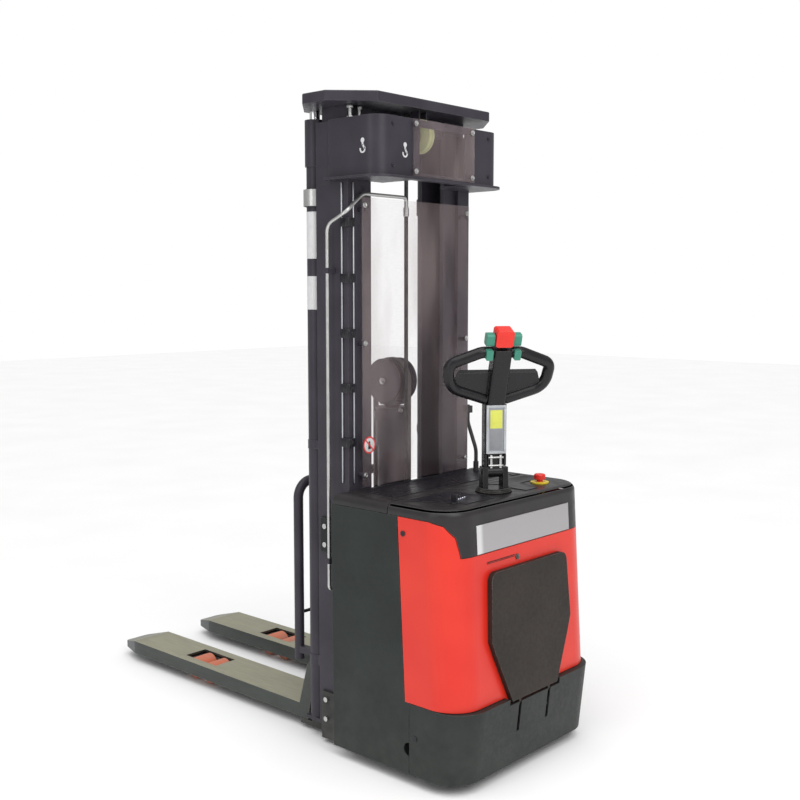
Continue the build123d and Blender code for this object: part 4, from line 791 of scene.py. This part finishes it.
class STACKER_OT_rail_tubes(bpy.types.Operator):
    """Two thin bright steel tubes up the left rail's corner, held by saddle clips; the tubes stand where
    highlight lines run along the rail's edges, a painted highlight.
    """

    bl_idname = "stacker.rail_tubes"
    bl_label = "Rail tubes"

    def execute(self, context):
        rear = extent("outer_mast")[0].y + RAIL_FACE_INSET
        bottom = 930
        top = extent("mast_top_box")[0].z - 8
        lines = []
        # Bright tubes where the rail's edges catch the light: painted highlight lines.
        for number, (x, y) in enumerate(((RAIL_CORNER - 3.2, rear + 26), (RAIL_CORNER + 22, rear - 3.2))):
            tube = turned(f"rail_tube_{number}", (x, y, (bottom + top) / 2), 3, top - bottom, sides=20)
            lines.append(softened(tube, 0.8))
        fitted(joined("rail_tubes", lines), "chassis", "rail_silver")
        count = sizes().clip_count
        first = 1068
        for number in range(count):
            z = first + number * (top - 130 - first) / (count - 1)
            tall = (z - 15, z + 15)
            back = slab(f"rail_clip_{number}", (RAIL_CORNER - 7, RAIL_CORNER + 28),
                        (rear - 7.5, rear - 0.2), tall)
            side = slab("rail_clip_side", (RAIL_CORNER - 7.5, RAIL_CORNER - 0.2),
                        (rear - 7.5, rear + 32), tall)
            notch = turned("rail_clip_boss", (RAIL_CORNER - 4, rear - 4, z), 9, 30.2, sides=28)
            clip = joined(f"rail_clip_{number}", [back, side, notch])
            screw = turned("rail_clip_screw", (RAIL_CORNER + 9, rear - 8.5, z), 4, 3, "Y", 6)
            clip = joined(f"rail_clip_{number}", [softened(clip, 1.5), screw])
            fitted(clip, "chassis", "tray_black")
        return {"FINISHED"}


class STACKER_OT_lift_chain(bpy.types.Operator):
    """Leaf chain over the free-lift sheave, link by link"""

    bl_idname = "stacker.lift_chain"
    bl_label = "Lift chain"

    def link(self, name, low, half, pitch):
        """One pitch of leaf chain: side plates and a pin, standing in the YZ plane at the origin."""
        pieces = []
        for x in (-half, -half * 0.45, half * 0.1, half * 0.62):
            outline = [(x, y, z) for y, z in arc((0, 0), low, 180, 360, 5)]
            outline += [(x, y, z) for y, z in arc((0, pitch), low, 0, 180, 5)]
            pieces.append(outline_plate(name, outline, half * 0.34, "X"))
        pieces.append(turned(name + "_pin", (0, 0, 0), low * 0.42, 2 * half - 0.6, "X", 10))
        return joined(name, pieces)

    def execute(self, context):
        high = extent("lift_chain")[1]
        axle = place("sheave_spin")
        half = high.x
        pitch = sizes().chain_pitch / MM
        line = high.y - CHAIN_BAND / 2 - axle.y
        model = self.link("chain_link", CHAIN_BAND / 2 - 0.1, half - 0.4, pitch)
        links = []
        for side, foot in CHAIN_FEET:
            count = int((axle.z - foot) / pitch)
            for number in range(count):
                step = axle.z - (number + 1) * pitch
                twin = copied(model, f"chain_{side}_{number}", (0, axle.y + side * line, step))
                links.append(twin)
        turns = round(math.pi * line / pitch)
        for number in range(turns):
            angle = number * math.pi / turns
            twin = copied(model, f"chain_top_{number}", (0, line, 0))
            twin.matrix_world = (Matrix.Translation(axle * MM) @ Matrix.Rotation(angle, 4, "X"))
            links.append(settle(twin, f"chain_top_{number}"))
        bpy.data.objects.remove(model)
        chain = fitted(joined("leaf_chain", links), "freelift_head", "chain_steel", smooth=40)
        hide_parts("lift_chain")
        return {"FINISHED"}


class STACKER_OT_sheave_shroud(bpy.types.Operator):
    """Round cheek plates and bolts on the free-lift head"""

    bl_idname = "stacker.sheave_shroud"
    bl_label = "Free-lift head"

    def execute(self, context):
        axle = place("sheave_spin")
        outer = extent("freelift_head")[1].x
        radius = 80.0
        for side, name in ((-1, "left"), (1, "right")):
            x = side * (outer + 2.2)
            cheek = turned(f"sheave_cheek_{name}", (x, axle.y, axle.z), radius, 4, "X", 72)
            sunk(cheek, lambda spot, normal: side * normal.x > 0.9, 9, 1.2)
            softened(cheek, 1.0)
            fitted(cheek, "freelift_head", "mast_paint")
            nut = turned(f"sheave_nut_{name}", (x + side * 6, axle.y, axle.z), 13, 8, "X", 6)
            end = turned("sheave_pin_end", (x + side * 9, axle.y, axle.z), 7, 10, "X", 20)
            fitted(joined(f"sheave_nut_{name}", [softened(nut, 1.2), softened(end, 1)]), "freelift_head",
                   "zinc")
        bolts = []
        for x in (-18, 18):
            head = turned("head_bolt", (x, axle.y - 59, 1150), 7.5, 9, "Y", 6)
            washer = turned("head_washer", (x, axle.y - 56, 1150), 10, 2.4, "Y", 24)
            bolts += [softened(head, 0.9), washer]
        fitted(joined("freelift_bolts", bolts), "inner_mast", "zinc")
        band = turned("freelift_collar", (axle.x, axle.y, 1131), 62, 30, "Z", 64, "NOTHING")
        thickened(band, 2.5)
        fitted(softened(band, 0.8), "inner_mast", "mast_paint")
        return {"FINISHED"}


class STACKER_OT_guard_screws(bpy.types.Operator):
    """Button screws and washers that hold the two clear guards"""

    bl_idname = "stacker.guard_screws"
    bl_label = "Guard screws"

    def execute(self, context):
        screws = []
        main_low, main_high = extent("main_guard")
        top_low, top_high = extent("top_guard")
        spots = [(side * (main_high.x - 12), main_low.y, z) for side in (-1, 1)
                 for z in (main_low.z + 40, 1400, main_high.z - 26)]
        spots += [(side * (top_high.x - 12), top_low.y, z) for side in (-1, 1)
                  for z in (top_low.z + 16, top_high.z - 16)]
        for x, y, z in spots:
            washer = turned("guard_washer", (x, y - 0.8, z), 9, 1.6, "Y", 32)
            head = turned("guard_screw", (x, y - 3.2, z), 6, 4.4, "Y", 32)
            sunk(head, lambda spot, normal: normal.y < -0.9, 2.6, 2.0)
            screws += [softened(washer, 0.4), softened(head, 1.0)]
        fitted(joined("guard_screws", screws), "chassis", "zinc")
        return {"FINISHED"}


class STACKER_OT_anchor_studs(bpy.types.Operator):
    """Threaded anchor studs and nuts under the left of the top plate"""

    bl_idname = "stacker.anchor_studs"
    bl_label = "Anchor studs"

    def execute(self, context):
        radius = sizes().stud_radius / MM
        studs = []
        for x in (-300, -258):
            y = -442
            rod = turned("stud_rod", (x, y, TOP_PLATE_UNDER - 26), radius, 50, sides=24)
            pick(rod, lambda spot, normal: abs(normal.z) < 0.1)
            bpy.ops.mesh.subdivide(number_cuts=1)
            done()
            upper = turned("stud_nut", (x, y, TOP_PLATE_UNDER - 6), radius * 1.9, 9, sides=6)
            lower = turned("stud_nut", (x, y, TOP_PLATE_UNDER - 40), radius * 1.9, 8, sides=6)
            studs += [rod, softened(upper, 0.8), softened(lower, 0.8)]
        fitted(joined("anchor_studs", studs), "inner_mast", "zinc")
        return {"FINISHED"}


class STACKER_OT_column_face(bpy.types.Operator):
    """Side strips, rivets, blank labels and the pivot bracket on the tiller's column"""

    bl_idname = "stacker.column_face"
    bl_label = "Tiller column"

    def execute(self, context):
        here = with_tiller()
        low = extent("tiller_label_plate")[0].z
        high = extent("tiller_label_plate")[1].z
        front = -25.0
        strips = []
        for side in (-1, 1):
            inner = side * 26.2
            outer = side * 34.4
            strip = slab("column_strip", (inner, outer), (front - 1.2, front + 0.2), (low - 6, high + 8))
            strips.append(softened(strip, 0.5))
        for z, tall in ((low - 3, 4), (high + 4, 4)):
            strip = slab("column_strip", (-34.4, 34.4), (front - 1.1, front + 0.2), (z - tall, z + tall))
            strips.append(softened(strip, 0.5))
        fitted(placed(joined("column_strips", strips), here), "tiller", "rail_silver")
        rivets = []
        for x in (-30.2, 30.2):
            for z in (low + 2, (low + high) / 2, high):
                rivet = turned("column_rivet", (x, front - 2.0, z), 3.1, 2.2, "Y", 20)
                rivets.append(softened(rivet, 0.9, 3))
        fitted(placed(joined("column_rivets", rivets), here), "tiller", "zinc")
        middle = low + (high - low) * 0.5
        yellow = slab("column_label_upper", (-21, 21), (front + 0.35, front + 0.95), (middle + 4, high - 8))
        fitted(placed(softened(yellow, 0.2), here), "tiller", "label_yellow")
        grey = slab("column_label_lower", (-21, 21), (front + 0.35, front + 0.95), (low + 6, middle))
        fitted(placed(softened(grey, 0.2), here), "tiller", "label_pale_grey")
        self.bracket(here)
        return {"FINISHED"}

    def bracket(self, here):
        """The bright pivot links and pins below the column, and the plastic cheeks beside them."""
        links = []
        for x in (-16, 16):
            link = slab("pivot_link", (x - 4, x + 4), (-24.5, -19), (988, 1033))
            links.append(softened(link, 1.4))
        for z in (997, 1024):
            pin = turned("pivot_pin", (0, -22, z), 3.6, 52, "X", 24)
            links.append(softened(pin, 0.8))
        fitted(placed(joined("pivot_links", links), here), "tiller", "zinc")
        boot = slab("pivot_cheek", (-37, -28), (-21, 21), (990, 1035))
        other = slab("pivot_cheek", (28, 37), (-21, 21), (996, 1035))
        cheeks = joined("pivot_cheeks", [softened(boot, 3, 3), softened(other, 3, 3)])
        fitted(placed(cheeks, here), "tiller", "tiller_plastic")


class STACKER_OT_column_boot(bpy.types.Operator):
    """Ribbed rubber boot round the foot of the tiller, turning with the steering"""

    bl_idname = "stacker.column_boot"
    bl_label = "Tiller boot"

    def execute(self, context):
        deck = extent("console_cover")[1].z
        rings = []
        for number in range(3):
            radius = 60 - number * 2.2
            ring = turned("boot_ring", (STEER.x, STEER.y, deck + 4.2 + number * 4.6), radius, 4.4, sides=64,
                          ends="NOTHING")
            thickened(ring, -6)
            rings.append(softened(ring, 1.6, 3))
        fitted(joined("tiller_boot", rings), "drive_unit", "mat_rubber")
        return {"FINISHED"}


class STACKER_OT_console_trays(bpy.types.Operator):
    """Shallow trays with raised rims, and a row of small glowing white dots that paint glints, on the
    console's top
    """

    bl_idname = "stacker.console_trays"
    bl_label = "Console trays"

    def tray(self, name, corners, body):
        deck = extent("console_cover")[1].z
        plate = outline_plate(name, [(x, y, deck + 0.1) for x, y in corners], 2.4, "Z")
        sunk(plate, lambda spot, normal: normal.z > 0.9, 4.0, 1.8)
        softened(plate, 0.8)
        return fitted(plate, body, "tray_black")

    def execute(self, context):
        self.tray("tray_left", [(-322, -706), (-96, -706), (-84, -884), (-232, -884)], "chassis")
        self.tray("tray_right", [(96, -706), (322, -706), (322, -786), (190, -786), (150, -884), (84, -884)],
                  "chassis")
        self.tray("lid_tray", [(-300, -480), (300, -480), (300, -640), (-300, -640)], "chassis")
        deck = extent("console_cover")[1].z
        # Glowing white dots where the tray catches light: painted glints.
        glint_dots = []
        for number in range(6):
            spot = (-212 + number * 13, -818 + number * 2.4, deck + 1.2)
            lamp = turned("lamp", spot, sizes().glint_dot_radius / MM, 1.6, sides=20)
            glint_dots.append(softened(lamp, 0.6))
        fitted(joined("console_glint_dots", glint_dots), "chassis", "lamp_white")
        return {"FINISHED"}


class STACKER_OT_display_face(bpy.types.Operator):
    """Glass and blank charge bars on the battery display"""

    bl_idname = "stacker.display_face"
    bl_label = "Battery display"

    def execute(self, context):
        low, high = extent("display_unit")
        glass = slab("display_glass", (low.x + 8, high.x - 8), (low.y + 8, high.y - 8),
                     (high.z - 0.4, high.z + 0.9))
        fitted(softened(glass, 0.4), "chassis", "screen_black")
        bars = []
        for number in range(8):
            x = low.x + 20 + number * 9.6
            bar = slab("display_bar", (x, x + 6), (low.y + 26, low.y + 38 + number * 2),
                       (high.z + 0.7, high.z + 1.1))
            bars.append(softened(bar, 0.15))
        fitted(joined("display_bars", bars), "chassis", "lamp_green")
        return {"FINISHED"}


class STACKER_OT_cover_lines(bpy.types.Operator):
    """Dark strips that paint the shade in a latch groove and under its lip, and the key barrel, below the
    stripe on the red cover
    """

    bl_idname = "stacker.cover_lines"
    bl_label = "Cover latch"

    def execute(self, context):
        reference = Vector((0, -946.3, 711))
        turn = Matrix.Translation(reference * MM) @ Matrix.Rotation(-COVER_SLOPE, 4, "X")
        # Thin near-black strips: painted shade of the groove and under its lip.
        groove_shade_strip = slab("latch_groove", (-206, -60), (-0.7, 0.6), (11, 14))
        lip_shade_strip = slab("latch_lip", (-206, -60), (-0.9, 0.6), (7.5, 9))
        fitted(placed(joined("latch_groove", [softened(groove_shade_strip, 0.4), softened(lip_shade_strip, 0.4)]), turn), "chassis",
               "line_dark")
        barrel = turned("key_barrel", (-46, -1.2, 4), 9.5, 3.2, "Y", 40)
        sunk(barrel, lambda spot, normal: normal.y < -0.9, 2.4, 1.0)
        slot = slab("key_slot", (-47.2, -44.8), (-3.2, -1.0), (-1, 9))
        key_barrel = placed(joined("key_barrel", [softened(barrel, 0.6), slot]), turn)
        fitted(key_barrel, "chassis", "chain_steel")
        return {"FINISHED"}


class STACKER_OT_platform_mat(bpy.types.Operator):
    """Ribbed rubber mat on the standing side of the platform"""

    bl_idname = "stacker.platform_mat"
    bl_label = "Platform mat"

    def execute(self, context):
        low = 262.0
        high = 692.0
        foot_y = -975.6
        turn = Matrix.Translation(Vector((0, foot_y, low)) * MM) @ Matrix.Rotation(-COVER_SLOPE, 4, "X")
        outline = [(-112, 0, 18), (112, 0, 18), (180, 0, 160), (202, 0, 214), (190, 0, high - low - 16),
                   (-190, 0, high - low - 16), (-202, 0, 214), (-180, 0, 160)]
        base = outline_plate("platform_mat", outline, 0.7)
        ribs = [base]
        pitch = sizes().rib_pitch / MM
        for number in range(int((high - low - 60) / pitch)):
            z = 32 + number * pitch
            reach = 104 + (z - 18) * 0.48 if z < 160 else 172
            rib = slab("mat_rib", (-reach, reach), (0.5, 1.3), (z - 2.6, z + 2.6))
            ribs.append(rib)
        mat = placed(joined("platform_mat", ribs), turn)
        fitted(mat, "platform", "mat_rubber")
        return {"FINISHED"}


class STACKER_OT_wheel_caps(bpy.types.Operator):
    """Bearing caps on the load wheels and castors"""

    bl_idname = "stacker.wheel_caps"
    bl_label = "Wheel caps"

    def execute(self, context):
        for end in ("front", "rear"):
            for side in ("left", "right"):
                self.cap(f"load_wheel_{end}_{side}", 26.0, 13.0)
        for side in ("left", "right"):
            self.cap(f"castor_wheel_{side}", 34.0, 16.0)
        return {"FINISHED"}

    def cap(self, node, radius, bore):
        """A thin dished ring on both ends of a wheel's hub."""
        low, high = extent(node)
        middle = (low + high) / 2
        rings = []
        for face, out in ((low.x, -1), (high.x, 1)):
            ring = turned("bearing_cap", (face - out * 0.5, middle.y, middle.z), radius, 1.6, "X", 40)
            pick(ring, lambda spot, normal: abs(normal.x) > 0.9)
            bpy.ops.mesh.inset(thickness=(radius - bore) * MM, use_individual=True)
            bpy.ops.mesh.delete(type="FACE")
            bpy.ops.object.mode_set(mode="OBJECT")
            take(ring)
            bpy.ops.object.mode_set(mode="EDIT")
            bpy.ops.mesh.select_mode(type="EDGE")
            bpy.ops.mesh.select_all(action="DESELECT")
            bpy.ops.mesh.select_non_manifold()
            bpy.ops.mesh.bridge_edge_loops()
            bpy.ops.mesh.select_all(action="SELECT")
            bpy.ops.mesh.normals_make_consistent(inside=False)
            bpy.ops.object.mode_set(mode="OBJECT")
            rings.append(softened(ring, 0.4))
        fitted(joined(f"{node}_caps", rings), node, "zinc")


class STACKER_OT_lid_latch(bpy.types.Operator):
    """Small latch plates at the left of the seam between the console and the battery lid"""

    bl_idname = "stacker.lid_latch"
    bl_label = "Lid latch"

    def execute(self, context):
        deck = extent("battery_lid")[1].z
        seam = extent("console_cover")[1].y
        for side, name in ((-1, "left"), (1, "right")):
            x = side * 318
            plate = outline_plate(f"lid_latch_{name}", [
                (x - 22, seam + 6, deck + 0.1), (x + 22, seam + 6, deck + 0.1),
                (x + 12, seam + 32, deck + 0.1), (x - 12, seam + 32, deck + 0.1)], 2.6, "Z")
            sunk(plate, lambda spot, normal: normal.z > 0.9, 3.0, 1.2)
            fitted(softened(plate, 0.7), "chassis", "console_plastic")
        return {"FINISHED"}


class STACKER_OT_bolster_bolts(bpy.types.Operator):
    """Bolt heads on the top plate and round the mast's box"""

    bl_idname = "stacker.bolster_bolts"
    bl_label = "Mast bolts"

    def execute(self, context):
        heads = []
        top = extent("inner_top_plate")[1].z
        for side in (-1, 1):
            for y in (-410, -330):
                washer = turned("plate_washer", (side * 268, y, top + 0.9 - 1.2), 15, 2, sides=32)
                head = turned("plate_bolt", (side * 268, y, top + 2.4), 10, 5, sides=6)
                sunk(head, lambda spot, normal: normal.z > 0.9, 2, 0.6)
                heads += [softened(washer, 0.5), softened(head, 0.8)]
        fitted(joined("plate_bolts", heads), "inner_mast", "mast_paint")
        box_screws = []
        low, high = extent("mast_top_box")
        for x in (-250, 250):
            for z in (low.z + 40, high.z - 26):
                head = turned("box_screw", (x, low.y + 20.2, z), 6, 4, "Y", 28)
                sunk(head, lambda spot, normal: normal.y < -0.9, 2.6, 1.8)
                box_screws.append(softened(head, 0.8))
        fitted(joined("box_screws", box_screws), "chassis", "tray_black")
        return {"FINISHED"}


class STACKER_OT_stage(bpy.types.Operator):
    """Pale floor, soft studio lights and the camera"""

    bl_idname = "stacker.stage"
    bl_label = "Stage"

    def execute(self, context):
        self.floor()
        self.sky()
        self.lights()
        self.camera()
        return {"FINISHED"}

    def floor(self):
        clear_selection()
        bpy.ops.mesh.primitive_plane_add(size=40, location=(0, 0, -0.0005))
        ground = bpy.context.object
        ground.name = "studio_floor"
        finish, tree, shader = new_finish("studio_floor")
        soft = clouds(tree, coords(tree), 1.5, 2)
        tree.links.new(blend_colours(tree, spread(tree, soft, 0, 1), (0.90, 0.90, 0.90), (0.93, 0.93, 0.93)),
                       shader.inputs["Base Color"])
        shader.inputs["Roughness"].default_value = 0.8
        ground.data.materials.append(finish)

    def sky(self):
        world = bpy.data.worlds.new("studio_sky")
        bpy.context.scene.world = world
        world.use_nodes = True
        tree = world.node_tree
        fill = tree.nodes["Background"]
        fill.inputs["Color"].default_value = (1.0, 1.0, 1.0, 1)
        fill.inputs["Strength"].default_value = 0.5
        backdrop = tree.nodes.new("ShaderNodeBackground")
        backdrop.inputs["Color"].default_value = (1.0, 1.0, 1.0, 1)
        mix = tree.nodes.new("ShaderNodeMixShader")
        seen = tree.nodes.new("ShaderNodeLightPath")
        tree.links.new(seen.outputs["Is Camera Ray"], mix.inputs["Fac"])
        tree.links.new(fill.outputs["Background"], mix.inputs[1])
        tree.links.new(backdrop.outputs["Background"], mix.inputs[2])
        tree.links.new(mix.outputs["Shader"], tree.nodes["World Output"].inputs["Surface"])

    def lamp(self, name, spot, aim, width, height, power):
        light = bpy.data.lights.new(name, "AREA")
        light.shape = "RECTANGLE"
        light.size = width
        light.size_y = height
        light.energy = power
        holder = bpy.data.objects.new(name, light)
        bpy.context.scene.collection.objects.link(holder)
        holder.location = spot
        holder.rotation_euler = (Vector(aim) - Vector(spot)).to_track_quat("-Z", "Y").to_euler()

    def lights(self):
        self.lamp("key_softbox", (-1.2, -4.6, 3.4), (0, -0.6, 0.8), 2.6, 2.6, 75)
        self.lamp("side_softbox", (-4.6, -0.6, 2.6), (0, -0.4, 1.1), 1.2, 3.4, 30)
        light = bpy.data.lights.new("overhead", "SUN")
        light.energy = 1.9
        light.angle = math.radians(70)
        holder = bpy.data.objects.new("overhead", light)
        bpy.context.scene.collection.objects.link(holder)
        holder.rotation_euler = (math.radians(12), math.radians(-14), 0)

    def camera(self):
        lens = bpy.data.cameras.new("studio_camera")
        lens.lens = 49.06
        lens.sensor_width = 36.0
        lens.clip_end = 100.0
        holder = bpy.data.objects.new("studio_camera", lens)
        holder.location = (-2.8769, -2.9958, 1.5743)
        holder.rotation_euler = (math.radians(84.27), 0, math.radians(-47.83))
        bpy.context.scene.collection.objects.link(holder)
        bpy.context.scene.camera = holder
        bpy.context.scene.view_settings.view_transform = "Standard"


STEPS = (
    STACKER_OT_finishes, STACKER_OT_barrel_labels, STACKER_OT_lift_signs, STACKER_OT_warning_sign,
    STACKER_OT_rail_tubes, STACKER_OT_lift_chain, STACKER_OT_sheave_shroud, STACKER_OT_guard_screws,
    STACKER_OT_anchor_studs, STACKER_OT_column_face, STACKER_OT_column_boot, STACKER_OT_console_trays,
    STACKER_OT_display_face, STACKER_OT_cover_lines, STACKER_OT_platform_mat, STACKER_OT_wheel_caps,
    STACKER_OT_lid_latch, STACKER_OT_bolster_bolts, STACKER_OT_stage)


class STACKER_PT_sidebar(bpy.types.Panel):
    """Sizes, colours and the steps that build the stacker's small pieces"""

    bl_idname = "STACKER_PT_sidebar"
    bl_label = "Walkie stacker"
    bl_space_type = "VIEW_3D"
    bl_region_type = "UI"
    bl_category = "Stacker"

    def draw(self, context):
        for group in (sizes(), colours()):
            box = self.layout.box()
            for name in group.bl_rna.properties.keys():
                if name not in ("rna_type", "name"):
                    box.prop(group, name)
        for step in STEPS:
            self.layout.operator(step.bl_idname)


def register():
    for kind in (StackerSizes, StackerColours, *STEPS, STACKER_PT_sidebar):
        bpy.utils.register_class(kind)
    bpy.types.Scene.stacker_sizes = PointerProperty(type=StackerSizes)
    bpy.types.Scene.stacker_colours = PointerProperty(type=StackerColours)


def unregister():
    del bpy.types.Scene.stacker_colours
    del bpy.types.Scene.stacker_sizes
    for kind in reversed((StackerSizes, StackerColours, *STEPS, STACKER_PT_sidebar)):
        bpy.utils.unregister_class(kind)


def main():
    register()
    for step in STEPS:
        group, name = step.bl_idname.split(".")
        getattr(getattr(bpy.ops, group), name)()


if __name__ == "__main__":
    main()
